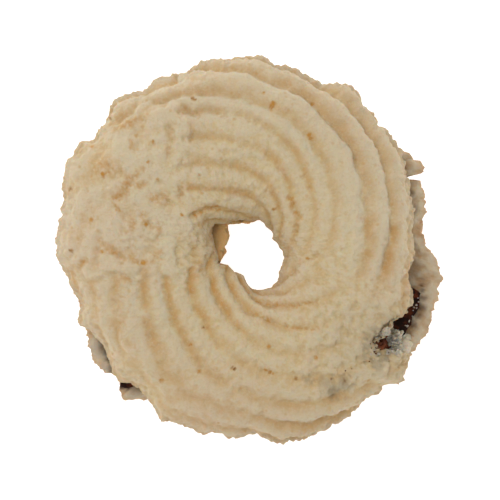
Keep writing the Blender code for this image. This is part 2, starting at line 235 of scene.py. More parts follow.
# The smeared patch's outline, which runs off the ring at the left, in mm.
PATCH_OUTLINE = (
    (-33, 19.5), (-22.5, 19.6), (-20, 21.2), (-17.5, 22.3), (-15, 22.9), (-12.8, 23.2),
    (-11.6, 22.7), (-10.7, 21.2), (-9.9, 19.8), (-10.1, 18.4), (-10, 17), (-10.5, 15.8),
    (-9.6, 14.6), (-10.2, 13.2), (-11.2, 11.8), (-10.6, 10.4), (-11.3, 9), (-10, 7.6), (-9.4, 6),
    (-9.3, 4.4), (-8.3, 2.4), (-8.2, 0.5), (-8.9, -1), (-8.4, -2.4), (-10, -3.3), (-12.5, -3.8),
    (-15, -2.8), (-18, -3.9), (-21, -3.1), (-24, -4.3), (-27, -3.9), (-33, -4.2), (-33, 19.5),
)
PATCH_WANDER = 1.7 * MM
PATCH_WANDER_SIZE = 2.2 * MM
PATCH_FADE = (-0.7 * MM, 0.9 * MM)
PATCH_LEVEL = 0.12 * MM
PATCH_LUMP = 0.75 * MM
PATCH_LUMP_SIZE = 3.4 * MM
PATCH_STREAK_TURN = math.radians(60)
PATCH_STREAK = 1.6       # how much longer the lumps are than wide
RIM_CALM = 0.6           # how much flatter all lumps are at the ring's rim

# How far the outlines of hollows fray, and how many times as far those of the rest.
FRAY = 0.35 * MM
FRAY_SIZE = 0.8 * MM
LUMP_FRAY = 1.5
SPECK_FRAY = 0.4
STAIN_FRAY = 3.0
SLUMP_FRAY = 2.0
LUMP_LIGHT = 0.8
# Hollows and scratches: depth and half width in mm, how browned, which is baked colour and
# painted shade in the hollow, and the line they follow.
HOLLOWS = (
    (0.4, 0.45, 0.9, (-10.6, 22.9), (-10.0, 22.3), (-9.4, 21.8), (-8.6, 21.7)),
    (0.35, 0.45, 0.6, (-9.3, 19.5), (-9.0, 18.3), (-9.3, 17.4)),
    (0.5, 0.60, 0.5, (-12.9, 19.4), (-12.5, 18.4), (-12.3, 17.4)),
    (0.4, 0.50, 0.3, (-13.0, 15.8), (-12.8, 14.9)),
    (0.4, 0.35, 0.3, (-9.8, 15.6), (-9.7, 14.8)),
    (0.4, 0.40, 0.3, (-11.2, 12.9), (-10.9, 13.6), (-10.7, 14.2)),
    (0.5, 0.45, 0.5, (-11.1, 9.8), (-10.9, 9.0), (-10.8, 8.4)),
    (0.2, 0.80, 0.6, (-21.0, 19.3), (-19.0, 20.0), (-17.5, 20.9)),
    (0.25, 0.45, 1.0, (-8.5, 5.5), (-7.8, 6.2), (-6.6, 6.6), (-5.0, 6.4)),
    (0.3, 0.60, 0.35, (-8.8, 0.4), (-8.6, -0.6), (-7.8, -2.2), (-6.8, -4.0)),
    (0.1, 0.60, 0.5, (-18.8, -0.9), (-18.2, -1.5)),
    (0.2, 0.50, 0.7, (-17.4, -2.0), (-16.6, -2.1)),
    (0.1, 0.50, 0.5, (-15.4, -1.7), (-14.2, -0.4)),
    (0.1, 0.70, 0.6, (-22.3, 0.1), (-21.0, -0.4), (-20.0, -1.0)),
    (0.1, 0.70, 0.5, (-20.2, -4.2), (-19.2, -4.6)),
    (0.1, 0.50, 0.5, (-18.6, 3.2), (-18.2, 4.2)),
    (0.2, 0.45, 0.5, (-14.5, 4.2), (-14.3, 2.2)),
    (0.1, 1.10, 0.45, (-14.2, 7.8), (-13.4, 7.6)),
    (0.2, 0.60, 0.55, (-16.8, 5.4), (-16.0, 4.2)),
    (0.1, 0.30, 0.6, (-21.6, 7.4), (-20.8, 6.6), (-20.6, 6.0)),
    (0.2, 0.25, 0.6, (-22.5, 12.3), (-23.6, 10.8)),
    (0.1, 0.35, 0.4, (-18.7, 17.1), (-18.5, 15.9)),
    (0.3, 0.90, 0.7, (-21.0, 8.3), (-20.3, 9.0), (-19.5, 9.9), (-19.1, 11.1)),
    (0.2, 0.60, 0.6, (-18.6, 10.2), (-17.6, 10.2), (-16.7, 10.3)),
    (0.3, 0.50, 0.5, (-19.0, 10.5), (-17.9, 11.7), (-17.0, 12.8)),
    (0.1, 1.30, 0.50, (-24.0, 13.2), (-22.9, 13.8), (-21.7, 12.6)),
    (0.2, 0.40, 0.5, (-21.4, 7.0), (-20.8, 6.5)),
    (0.2, 0.90, 0.5, (-15.3, 8.2), (-13.5, 8.5)),
    (0.2, 0.50, 0.5, (-27.2, -2.8), (-26.2, -1.8)),
    (0.2, 0.40, 0.5, (-23.7, 1.6), (-23.0, 0.9)),
    (0.3, 0.40, 0.5, (-21.5, -0.2), (-20.6, -1.0)),
    (0.2, 0.50, 0.4, (-16.8, 4.2), (-15.8, 3.7)),
    (0.3, 0.40, 0.9, (6.2, 8.2), (6.6, 7.0), (7.2, 5.6), (7.5, 5.2)),
    (0.3, 0.35, 0.6, (7.2, 3.4), (7.1, 2.4)),
    (0.1, 0.50, 0.6, (22.7, 3.4), (22.6, 1.8)),
    (0.1, 0.90, 0.5, (21.8, -2.2), (22.2, -1.2)),
    (0.3, 0.25, 0.9, (24.7, -7.0), (24.15, -7.8), (24.4, -8.8)),
    (0.2, 0.35, 0.8, (0.4, -7.5), (2.5, -8.2), (4.7, -8.6), (7.0, -8.5), (10.6, -8.2)),
    (0.2, 0.35, 0.8, (0.6, -9.8), (3.2, -11.2), (5.5, -12.0), (8.0, -12.3), (10.9, -12.5)),
    (0.3, 0.35, 0.4, (5.4, -4.6), (6.6, -3.4), (7.8, -2.3), (9.2, -1.4), (10.8, -0.8)),
    (0.3, 0.80, 0.45, (25.5, -17.8), (23.6, -18.6), (22.0, -19.4)),
)
# Pale lumps, paler on top as painted light: place, radius and height in mm.
LUMPS = (
    (-20.8, 18.1, 1.6, 0.5), (-21.2, 10.0, 0.9, 0.5), (-14.0, 17.6, 1.1, 0.5),
    (-13.8, 15.2, 1.0, 0.4), (-10.4, 20.6, 1.0, 0.6), (-10.1, 18.6, 0.9, 0.7),
    (-10.2, 16.6, 0.9, 0.5), (-8.0, 12.6, 1.3, 0.4), (-11.2, 13.9, 1.1, 0.5),
    (-17.2, 8.0, 1.4, 0.4), (-14.6, 12.4, 1.2, 0.4), (-13.2, -0.4, 1.2, 0.4),
    (-12.8, -2.7, 1.1, 0.6), (-8.8, 1.6, 0.9, 0.5), (-9.6, 4.0, 1.0, 0.4),
    (-19.0, 14.8, 1.2, 0.4), (-2.4, 8.0, 1.2, 0.3), (-5.6, 10.6, 1.2, 0.3),
    (-24.6, 9.0, 1.6, 0.3), (-19.6, 1.6, 1.2, 0.4), (-16.2, -3.4, 1.2, 0.5),
    (-20.6, -3.4, 1.2, 0.4), (8.4, -2.6, 1.2, 0.4), (-5.9, 1.4, 0.8, 0.5), (-6.8, 0.0, 0.8, 0.5),
    (-7.6, 3.2, 0.8, 0.4), (18.4, -8.6, 1.0, 0.4), (15.6, -10.2, 1.2, 0.4),
    (19.4, -12.0, 1.1, 0.4), (16.8, -15.4, 1.2, 0.4), (13.2, -17.2, 1.1, 0.3),
    (10.2, -13.6, 1.2, 0.3), (21.8, -10.2, 0.9, 0.4), (13.2, -13.5, 1.3, 0.3),
    (20.6, -8.2, 1.5, 0.4), (23.2, -7.4, 1.3, 0.4), (17.0, -19.6, 1.0, 0.4),
    (21.2, -19.2, 1.2, 0.4), (9.4, -16.8, 1.2, 0.2), (3.2, 9.6, 0.7, 0.3), (5.0, 12.4, 0.8, 0.2),
    (-1.6, 18.6, 1.0, 0.2),
)
# Browned and burnt specks: place, radius in mm, how browned, how dark.
SPECKS = (
    (-9.2, 24.2, 0.30, 0.9, 0.5), (-8.7, 23.9, 0.22, 0.9, 0.35), (-22.2, 21.0, 0.30, 0.6, 0.5),
    (-28.6, 9.7, 0.35, 0.6, 0.5), (-29.0, 8.8, 0.25, 0.6, 0.5), (-30.8, 2.1, 0.35, 0.6, 0.6),
    (-28.2, -0.1, 0.25, 0.6, 0.5), (-2.8, -18.5, 0.26, 1.0, 0.9), (-2.4, -18.8, 0.20, 1.0, 0.7),
    (-7.3, -12.2, 0.24, 0.8, 0.6), (7.3, -20.5, 0.32, 0.7, 0.4), (13.0, -20.5, 0.20, 0.5, 0.6),
    (15.0, -20.7, 0.25, 0.5, 0.5), (24.9, -8.2, 0.18, 0.3, 0.7), (3.6, 23.2, 0.40, 1.0, 0.0),
    (3.4, 22.8, 0.30, 1.0, 0.1), (10.2, 23.9, 0.28, 1.0, 0.1), (9.4, 18.3, 0.45, 1.0, 0.1),
    (9.7, 17.7, 0.40, 1.0, 0.1), (2.2, 25.0, 0.25, 0.9, 0.0), (2.5, -19.0, 0.32, 1.2, 0.2),
    (3.1, -19.4, 0.38, 1.3, 0.3), (3.7, -19.5, 0.20, 1.0, 0.0), (-9.4, -15.0, 0.25, 1.0, 0.15),
    (-8.0, -19.2, 0.35, 0.9, 0.0), (-14.1, -20.8, 0.35, 0.9, 0.0), (-23.2, 11.9, 0.40, 1.3, 0.1),
    (-14.6, 11.1, 0.22, 0.9, 0.0), (-15.3, 17.1, 0.25, 1.0, 0.0), (-25.2, 4.8, 0.45, 0.9, 0.0),
    (-16.4, 4.0, 0.40, 1.0, 0.0), (-10.9, 5.6, 0.35, 1.0, 0.0), (-23.4, -0.3, 0.35, 1.1, 0.0),
    (-25.2, 16.5, 0.30, 0.7, 0.0), (-16.0, 13.9, 0.30, 0.8, 0.0), (-18.0, 18.1, 0.30, 0.7, 0.0),
    (-21.0, 6.4, 0.25, 0.9, 0.0), (-16.8, -2.0, 0.40, 1.0, 0.0), (10.4, -17.0, 0.35, 0.8, 0.0),
    (3.0, -15.2, 0.40, 0.8, 0.0), (8.9, -1.3, 0.35, 0.9, 0.0), (3.7, 6.4, 0.30, 0.9, 0.2),
    (-5.0, -27.4, 0.20, 0.8, 0.1), (19.0, -20.7, 0.25, 0.8, 0.0),
)
# How rosy the dough is, where its edge took more of the oven's heat. It is also painted shade:
# rosier on the wall of the hole, and on the top edge, which the key light strikes most.
ROSY_AND_SHADE = (
    (-29, 8, 0.6), (-30, 1, 0.6), (-28, -6, 0.6), (-26, 15, 0.5), (-22, 21.5, 0.4),
    (-16, 25.5, 0.5), (-10, 27.5, 0.6), (-3, 30, 0.6), (5, 28.6, 0.6), (12, 25.5, 0.5),
    (17, 24, 0.5), (20, 20, 0.5), (24, 14, 0.3), (25, 5, 0.2), (-26, -10, 0.6), (-22, -17, 0.6),
    (-17, -22, 0.6), (-12, -26, 1.0), (-7, -28, 1.0), (0, -28, 0.8), (6, -29, 0.8),
    (12, -28, 0.7), (17, -25, 0.3), (-6, -22, 0.8), (-14, -18, 0.6), (22, -20.5, 0.2),
    (24, -6, 0.6), (5.2, 0, 1.0), (5.0, -4, 1.0), (3.5, 3, 0.9), (2, -7, 0.5), (-2, -5, 0.2),
    (-6, 1, 0.0), (-24, 5, 0.5), (-20, -8, 0.3), (-10, -10, 0.1), (0, 0, 0.4), (10, 10, 0.1),
    (20, 10, 0.2), (0, 20, 0.1), (0, 25, 0.2), (-12, 10, 0.1), (8.5, -1, 0.1), (0, -15, 0.1),
    (10, -12, 0.0), (18, -12, 0.0), (0, -24, 0.8), (10, -24, 0.4), (14, 0, 0.1), (-17, 15, 0.2),
    (-20, -14, 0.7),
)
ROSY_REACH = 3.0 * MM
# How golden it is, where it was thick and rich in butter.
GOLDEN = (
    (8, 1, 1.0), (5, 9, 1.0), (-2, 9, 0.9), (9, 7, 0.9), (7, 13, 0.7), (-5, 12, 0.7),
    (9, -6, 0.7), (-8, -8, 0.9), (-6.5, 2, 1.0), (-7, -2, 0.7), (0, -12, 0.7), (0, -19, 0.5),
    (2, 5.5, 1.0), (-5, 5.5, 1.0), (8, -20, 0.7), (15, -16, 0.6), (12, -10, 0.5), (20, -20, 0.4),
    (-12, -19, 0.5), (-5, -27, 0.3), (5, -28, 0.4), (12, -26, 0.5), (-18, -13, 0.4), (0, 15, 0.5),
    (8, 15, 0.5), (-11, 1, 0.0), (-16, 5, 0.1), (-25, 5, 0.0), (-18, 16, 0.2), (12, 22, 0.3),
    (-8, 27, 0.3), (18, 0, 0.3), (13, 6, 0.0), (15, 10, 0.1), (5, 0, 0.2), (4.5, -4.5, 0.1),
    (25, 5, 0.2), (-10, 12, 0.3), (-23, 12, 0.5), (0, 24, 0.2), (-26, -8, 0.2),
)
GOLDEN_REACH = 3.5 * MM
# How browned the grooves are: baked colour and painted shade in them.
GROOVE_BROWNING_AND_SHADE = (
    (-8, -8, 0.75), (-15, -10, 0.55), (0, -10, 0.8), (20, 10, 0.6), (15, 20, 0.55), (0, 23, 0.5),
    (-5, 8, 0.8), (6, 8, 0.8), (0, -25, 0.7), (10, 0, 0.8), (22, 0, 1.0), (-15, -20, 0.7),
    (-22, -10, 0.6), (10, -10, 0.8), (-3, 18, 0.55), (3, 12, 0.7), (12, 15, 0.6), (24, 14, 0.6),
    (-20, -16, 0.5), (-9, 22, 0.4), (-6, 13, 0.6),
)
BROWNING_REACH = 3.0 * MM
# How orange the browned places are, where butter ran into them. It follows the browning, so in
# grooves and hollows it is painted warm shade too.
BUTTERY_AND_WARM_SHADE = (
    (-8, -8, 0.7), (-4, -7, 1.0), (-15, -10, 0.5), (0, -10, 0.7), (6, 7, 0.9), (-2, 6, 0.7),
    (-15, 5, 0.8), (-20, 12, 0.9), (-24, 1, 0.9), (-17, -1, 0.9), (-8, 5, 1.0), (20, 10, 0.0),
    (15, 20, 0.0), (0, 23, 0.1), (0, -25, 0.2), (10, 0, 0.4), (22, 0, 0.1), (-5, 13, 0.4),
    (-20, -15, 0.2), (-8, 24, 0.2), (20, -10, 0.3), (0, -18, 0.3),
)
# Greyish stains and pale floury places, and painted shade in the hollow below the heap at
# (23.5, -19): place, radius in mm, how stained.
STAINS_AND_SHADE = (
    (13.5, -22.2, 1.9, 0.5), (14.8, -21.2, 1.6, 0.45), (12.0, -21.0, 1.5, 0.35),
    (9.2, -20.5, 0.8, 0.4), (15.1, -19.8, 0.5, 0.5), (20.0, -18.0, 1.4, 0.5),
    (21.5, -17.2, 1.2, 0.5), (19.0, -15.0, 0.8, 0.35), (21.3, -12.9, 0.8, 0.3),
    (18.0, -17.0, 1.0, 0.4), (18.0, -14.0, 7.0, 0.12), (23.5, -19.0, 1.6, 0.2),
)
# How pitted and crumbly the dough is, from 0 to 1, at places in mm.
CRUMBLY = (
    (18, -10, 1.2), (21, -12, 1.2), (20, -17, 1.3), (16, -14, 1.2), (15, -19, 1.0), (12, -6, 0.6),
    (12, -14, 0.9), (22, -8, 1.1), (23, -19, 1.2), (20, -5, 0.4), (-17, 3, 0.6), (-14, 6, 0.5),
    (-20, 4, 0.4), (-12, 1, 0.6), (-16, -1, 0.6), (-7.5, 0.5, 0.9), (-6.5, -2, 0.8),
    (-12, 12, 0.4), (-26, 5, 0.2), (-11, 20, 0.6), (-22, 12, 0.35), (-17, 11, 0.6),
    (-25, 15, 0.15), (-19, 16, 0.4), (-14, 18, 0.5), (0, 25, 0.3), (20, 15, 0.25), (-8, -12, 0.4),
    (-20, -14, 0.3), (5, -25, 0.4), (8, 8, 0.25), (15, 6, 0.2), (-5, 15, 0.6), (-4, 8, 0.6),
    (-2, 12, 0.5), (-7, 18.5, 0.5), (-7, 5, 0.6), (-2, 5.5, 0.3), (-18, 20, 0.4), (0, -15, 0.4),
    (-10, -24, 0.4), (-5, -7, 0.4), (0, -8, 0.5), (6, -2, 0.5), (8, -11, 0.6), (-24, -14, 0.4),
    (-28, -4, 0.5),
)
CRUMBLY_REACH = 2.4 * MM
CRUMBLY_LUMP = 0.42 * MM
CRUMBLY_SIZE = 1.4 * MM

# Round the break the ring's sections lean by this angle for each mm outside a radius, fully so
# between the middle two of four directions, because the tear runs askew there.
SKEW = math.radians(0.96) / MM
SKEW_START = 24.5 * MM
SKEW_TURNS = [math.radians(turn) for turn in (-54, -41, -30, -24)]
SKEW_ROUNDS = 5
# The torn edge of the break, from its lower end to its upper: direction and radius round the
# ring's centre, in degrees and mm, in the leaning sections.
TORN_EDGE = (
    (-38.1, 32.8), (-37.7, 30.8), (-37.8, 29.0), (-38.3, 27.4), (-38.8, 26.3), (-38.5, 25.7),
    (-37.4, 25.4), (-35.1, 24.9), (-33.8, 25.0), (-32.9, 25.2), (-31.2, 25.5), (-29.8, 25.4),
    (-28.5, 25.7), (-27.1, 25.6), (-25.6, 25.3), (-24.2, 25.7), (-22.5, 26.3), (-20.6, 26.8),
    (-19.0, 26.9), (-18.1, 27.5), (-15.4, 27.0), (-12.4, 26.4), (-9.3, 25.7), (-7.1, 25.6),
    (-3.7, 25.8), (0.0, 27.0),
)
TORN_ROUGH = 0.70 * MM
TORN_ROUGH_SIZE = 1.1 * MM
TORN_LIP = 0.2 * MM      # the dough is unbrowned from this far beyond the torn edge
# The line that the dough slumps towards, in mm, from how far, and by what share of its height.
SLUMP_LINE = (
    (25.6, -17.1), (23.0, -17.0), (21.6, -16.8), (20.3, -16.3), (19.9, -15.5), (20.0, -14.5),
    (20.8, -13.8), (22.0, -13.0), (22.3, -12.4),
)
SLUMP_WIDTH = 2.8 * MM
SLUMP = 0.42

UNEVEN = 0.22 * MM
UNEVEN_SIZE = 4.5 * MM
CRUMB = 0.15 * MM
CRUMB_SIZE = 0.85 * MM
EDGE_CRUMB = 0.50 * MM
EDGE_CRUMB_SIZE = 0.8 * MM
HIGHEST_LUMP = 0.42 * MM     # above the smooth ring
# Painted shade and light from the relief: dips of this depth, against the dough some lines away
# on all sides, are browned this much as painted shade, and lumps of half that height are this pale
# as painted highlight.
DIP_DEPTH = 0.16 * MM
DIP_LINES = (3, 7)
FAR_DIP = 0.4            # how much the farther lines count
DIP_SHADE = 0.35
BUMP_LIGHT = 0.55
# The wall of the hole is less pale, as painted shade in the hole. It starts between these angles
# from the ring's edge, not everywhere at the same one.
HOLE_WALL_ANGLES = (math.pi - 0.66, math.pi - 0.52)
HOLE_WALL_RAGGED = 0.08
HOLE_WALL_SHADE = 0.7
# The flat base is browned by the tray, and the side that stands up from it a little; the side is
# also greyed, as painted shade on the low sides.
BASE_BROWNED = 0.8
SIDE_ANGLES = (0.1, 0.45)
SIDE_BROWNED = 0.12
SIDE_SHADE = 0.18
# The torn dough is unbrowned and greyed, and smeared with filling up to these heights.
TORN_STAINED = 0.4
TORN_SMEARED_HEIGHTS = (0.5 * MM, 3.5 * MM)
# These move patterns of lumps apart, so that they don't fall together.
OCTAVE_SHIFT = 7.3
DEPTH_SHIFT = 0.04
BLOTCH_SHIFT = 0.02
EDGE_CRUMB_SHIFT = 0.03
# Beyond all reach of the places that set a value, each of them keeps a last small weight.
FARTHEST = 40.0
LAST_WEIGHT = 1e-18
# The plain ring that a piped ring starts from has a rope of radius 1.
PLAIN_RING_R = 2.0
WELD = 0.001


def smooth_step(low, high, value):
    """0 below low, 1 above high, and a smooth rise between."""
    part = np.clip((value - low) / (high - low), 0.0, 1.0)
    return part * part * (3.0 - 2.0 * part)


def angle_between(turn, other):
    """The angle from other to turn, from -pi to pi."""
    return (turn - other + math.pi) % math.tau - math.pi


def outline_radius(turn, corners, centre):
    """The radius round a centre, at each angle, of an outline given by its corners in mm."""
    x, y = np.array(corners).T * MM - np.array(centre)[:, None]
    angles = np.arctan2(y, x)
    order = np.argsort(angles)
    return np.interp(turn, angles[order], np.hypot(x, y)[order], period=math.tau)


def wave(turn, first, second):
    """The once-round and twice-round waves of an outline."""
    return (
        first[0] * np.cos(turn) + first[1] * np.sin(turn)
        + second[0] * np.cos(2.0 * turn) + second[1] * np.sin(2.0 * turn)
    )


def lumps(x, y, z, size, octaves=1, roughness=0.5):
    """Unevenness between about -1 and 1 at each point, with lumps of the given size."""
    total = np.zeros(x.size)
    places = np.stack([x.ravel(), y.ravel(), z.ravel()], axis=1) / size
    weight = 1.0
    for _ in range(octaves):
        total += weight * np.array([noise.noise(place) for place in places.tolist()])
        places = places * 2.0 + OCTAVE_SHIFT
        weight *= roughness
    return total.reshape(x.shape)


def patchy(unevenness, middle, swing, most=1.0):
    """Unevenness turned into an amount from 0 to the most: what it is in the middle, and how
    far it swings from there."""
    return np.clip(middle + swing * unevenness, 0.0, most)


def near(x, y, places, reach):
    """A value at each point, blended from values given at the places near it, in mm."""
    total = np.zeros_like(x)
    weights = np.zeros_like(x)
    for place_x, place_y, value in places:
        away = ((x - place_x * MM) ** 2 + (y - place_y * MM) ** 2) / (2.0 * reach ** 2)
        weight = np.exp(-np.minimum(away, FARTHEST)) + LAST_WEIGHT
        total += weight * value
        weights += weight
    return total / weights


def from_line(x, y, line):
    """The distance of each point from a line of corners given in mm."""
    nearest = np.full_like(x, 1.0)
    for (ax, ay), (bx, by) in zip(line[:-1], line[1:]):
        run = np.array([bx - ax, by - ay]) * MM
        part = ((x - ax * MM) * run[0] + (y - ay * MM) * run[1]) / (run @ run)
        part = np.clip(part, 0.0, 1.0)
        away = np.hypot(x - ax * MM - part * run[0], y - ay * MM - part * run[1])
        nearest = np.minimum(nearest, away)
    return nearest


def inside_of(x, y, outline):
    """Whether each point lies inside a closed outline given in mm."""
    crossed = np.zeros(x.shape, dtype=bool)
    for (ax, ay), (bx, by) in zip(outline[:-1], outline[1:]):
        if ay != by:
            at = ax + (y / MM - ay) * (bx - ax) / (by - ay)
            crossed ^= ((y / MM > ay) != (y / MM > by)) & (x / MM < at)
    return crossed


def mound(away, half_width):
    """What share of a mound's height is left this far from its top, its half width in mm."""
    return np.exp(-(np.maximum(away, 0.0) / (half_width * MM)) ** 2)


def spot(away, size, core, rim):
    """A round spot with a soft rim, from each point's distance and its size in mm: 1 within its
    core and 0 beyond its rim, both given as shares of its size."""
    return 1.0 - smooth_step(core, rim, away / (size * MM))


def filled_in(line, step):
    """A line's corners in mm, with more points between them, no further apart than the step."""
    points = []
    for (ax, ay), (bx, by) in zip(line[:-1], line[1:]):
        count = math.ceil(math.hypot(bx - ax, by - ay) / step)
        points += [(ax + (bx - ax) * n / count, ay + (by - ay) * n / count) for n in range(count)]
    return points + [line[-1]]


def points_of(piece):
    """The x, the y and the z of all points of a mesh."""
    points = np.empty(len(piece.data.vertices) * 3)
    piece.data.vertices.foreach_get("co", points)
    return points.reshape(-1, 3).T


def blank_ring(name, steps, sides):
    """A flat grid rolled up into a plain ring and welded, which may have more segments than
    Blender's own torus, and the row and the column of each of its points in the ring's grid."""
    bpy.ops.mesh.primitive_grid_add(x_subdivisions=steps, y_subdivisions=sides, size=1.0)
    piece = bpy.context.object
    piece.name = name
    turn, angle, _ = points_of(piece) * math.tau
    radius = PLAIN_RING_R + np.cos(angle)
    points = np.stack([radius * np.cos(turn), radius * np.sin(turn), np.sin(angle)], axis=-1)
    piece.data.vertices.foreach_set("co", points.ravel())
    bpy.ops.object.mode_set(mode="EDIT")
    bpy.ops.mesh.select_all(action="SELECT")
    bpy.ops.mesh.remove_doubles(threshold=WELD)
    bpy.ops.object.mode_set(mode="OBJECT")
    x, y, z = points_of(piece)
    turn = np.arctan2(y, x) / math.tau + 0.5
    angle = np.arctan2(z, np.hypot(x, y) - PLAIN_RING_R) / math.tau + 0.5
    row = np.rint(turn * steps).astype(int) % steps
    column = np.rint(angle * sides).astype(int) % sides
    return piece, row, column


class Section:
    """The ring's cross-sections, one for each turn: an arched top over a flat base."""

    def __init__(self, outer, hole, edge_bulge, hole_bulge):
        self.middle = 0.5 * (outer + hole)[:, None]
        self.half = 0.5 * (outer - hole)[:, None]
        # Each is on the side of the edge, 1, or of the hole, -1.
        self.bulges = [(1.0, bulge, start) for bulge, start in parted(edge_bulge)]
        self.bulges += [(-1.0, bulge, start) for bulge, start in parted(hole_bulge)]
        self.angles = np.linspace(0.0, math.pi, ARC_STEPS + 1)
        radius, height = self.top(self.angles[None, :])
        lengths = np.hypot(np.diff(radius, axis=1), np.diff(height + 0.0 * radius, axis=1))
        start = np.zeros((len(outer), 1))
        self.arcs = np.concatenate([start, np.cumsum(lengths, axis=1)], axis=1)

    def top(self, angle):
        """Radius and height on the arched top, from the outer edge, 0, to the hole, pi."""
        across = np.cos(angle)
        up = np.clip(np.sin(angle), 0.0, 1.0)
        reach = np.copysign(np.abs(across) ** SHOULDER, across)
        return self.middle + self.half * reach, RING_HEIGHT * up ** SHOULDER

    def angle_at(self, arc):
        """The angle on the arched top at each distance from the outer edge."""
        rows = [np.interp(row, arcs, self.angles) for row, arcs in zip(arc, self.arcs)]
        return np.array(rows)

    def bulged(self, radius):
        """Radii moved by the bulges of the edge and the hole, which fade out inside the ring."""
        across = (radius - self.middle) / self.half
        for side, bulge, start in self.bulges:
            radius = radius + bulge * smooth_step(start, 1.0, side * across)
        return radius


class RingGrid:
    """The grid of a piped ring: its lines follow the swirl, its rows are sections."""

    def __init__(self, name, steps, lines_per_ridge, outline, swirl, centre, base_z, upright):
        sides = NOZZLE_TEETH * lines_per_ridge
        self.piece, self.row, self.column = blank_ring(name, steps, sides)
        self.centre = centre
        self.base_z = base_z
        self.upright = upright
        turns = np.arange(steps) * math.tau / steps
        self.section = Section(*outline(turns))
        self.swirl = swirl(turns)[:, None]
        ridge = (np.arange(sides)[None, :] / lines_per_ridge - self.swirl) % NOZZLE_TEETH
        top_ridges = self.section.arcs[:, -1:] / RIDGE_PITCH
        # In each row, the nearest line runs along the sharp edge and another along the hole's.
        rows = np.arange(steps)
        ridge[rows, np.argmin(np.minimum(ridge, NOZZLE_TEETH - ridge), axis=1)] = 0.0
        ridge[rows, np.argmin(np.abs(ridge - top_ridges), axis=1)] = top_ridges[:, 0]
        self.ridge = ridge
        self.on_base = self.ridge > top_ridges
        across_base = (self.ridge - top_ridges) / (NOZZLE_TEETH - top_ridges)
        across_base = np.where(self.ridge == 0.0, 1.0, np.clip(across_base, 0.0, 1.0))
        self.angle = self.section.angle_at(self.ridge * RIDGE_PITCH)
        self.turn = turns[:, None] + 0.0 * self.ridge
        radius, height = self.section.top(self.angle)
        flat = self.section.middle + self.section.half * (2.0 * across_base - 1.0)
        self.radius = self.section.bulged(np.where(self.on_base, flat, radius))
        self.height = np.where(self.on_base, 0.0, height)
        # How near each point is to the edge and to the hole, on the top as on the base.
        near_edge = smooth_step(BASE_RIM_START, 1.0, across_base)
        near_hole = smooth_step(BASE_RIM_START, 1.0, 1.0 - across_base)
        self.outwards = np.where(self.on_base, near_edge - near_hole, np.cos(self.angle))
        self.upwards = np.where(self.on_base, 0.0, np.sin(self.angle))
        top_rim = 1.0 - smooth_step(*TOP_RIM_ANGLES, self.angle)
        self.rim = np.where(self.on_base, near_edge, top_rim)

    def ground(self):
        """Where each point is, seen from above."""
        x = self.radius * np.cos(self.turn)
        y = self.radius * np.sin(self.turn) * (1.0 if self.upright else -1.0)
        return x + self.centre[0], y + self.centre[1]

    def push(self, amount):
        """Move the arched top in or out, square to the smooth section, and its rims with it."""
        self.radius = self.radius + amount * self.outwards
        self.height = np.maximum(self.height + amount * self.upwards, 0.0)

    def settle(self):
        """Write the grid into the mesh, where the ring lies."""
        x, y = self.ground()
        z = self.base_z + (self.height if self.upright else -self.height)
        points = np.stack([x, y, z], axis=-1)
        self.piece.data.vertices.foreach_set("co", points[self.row, self.column].ravel())
        self.piece.data.update()
        self.piece.data.shade_smooth()

    def paint(self, name, amount):
        """Keep an amount for each point as an attribute that the material reads."""
        layer = self.piece.data.attributes.new(name, "FLOAT", "POINT")
        values = (amount + 0.0 * self.radius)[self.row, self.column]
        layer.data.foreach_set("value", np.clip(values, 0.0, 1.0))


def parted(bulge):
    """A bulge as its slow part, which reaches far into the ring, and its sharp part."""
    reach = round(len(bulge) * SLOW_BULGE_SHARE)
    window = np.hanning(2 * reach + 1)
    slow = np.convolve(np.pad(bulge, reach, mode="wrap"), window / window.sum(), mode="valid")
    return (slow[:, None], SLOW_BULGE_START), ((bulge - slow)[:, None], SHARP_BULGE_START)


def flank(place, peak, wide, narrow):
    """A hump over a groove's flank, in ridges: wide beyond its peak and narrow before it."""
    away = place - peak
    return np.exp(-(away / np.where(away > 0.0, wide, narrow)) ** 2)


def below_around(height, lines):
    """How far each point of the grid lies below the mean of those some lines away."""
    around = [np.roll(height, step, axis) for axis in (0, 1) for step in (-lines, lines)]
    return sum(around) / 4.0 - height


def skewed(turn, radius):
    """The real angle at a radius in the sections that lean round the break."""
    leaning = smooth_step(SKEW_TURNS[0], SKEW_TURNS[1], angle_between(turn, 0.0))
    leaning = leaning * (1.0 - smooth_step(SKEW_TURNS[2], SKEW_TURNS[3], angle_between(turn, 0.0)))
    return turn + SKEW * leaning * np.maximum(radius - SKEW_START, 0.0)


def upper_outline(turns):
    """The upper ring's outer and hole radius and how far both bulge, at each angle."""
    outer = RING_OUTER_R + wave(turns, UPPER_WAVE_1, UPPER_WAVE_2)
    hole = np.full_like(turns, RING_HOLE_R)
    edge = outer
    for _ in range(SKEW_ROUNDS):
        edge = outline_radius(skewed(turns, edge), UPPER_EDGE, UPPER_CENTRE)
    return outer, hole, edge - outer, outline_radius(turns, UPPER_HOLE, UPPER_CENTRE) - hole


def upper_swirl(turns):
    """How many ridges have passed the outer edge between +X and each angle."""
    return SWIRL_START + NOZZLE_TEETH * turns / math.tau + wave(turns, SWIRL_DRIFT_1, SWIRL_DRIFT_2)


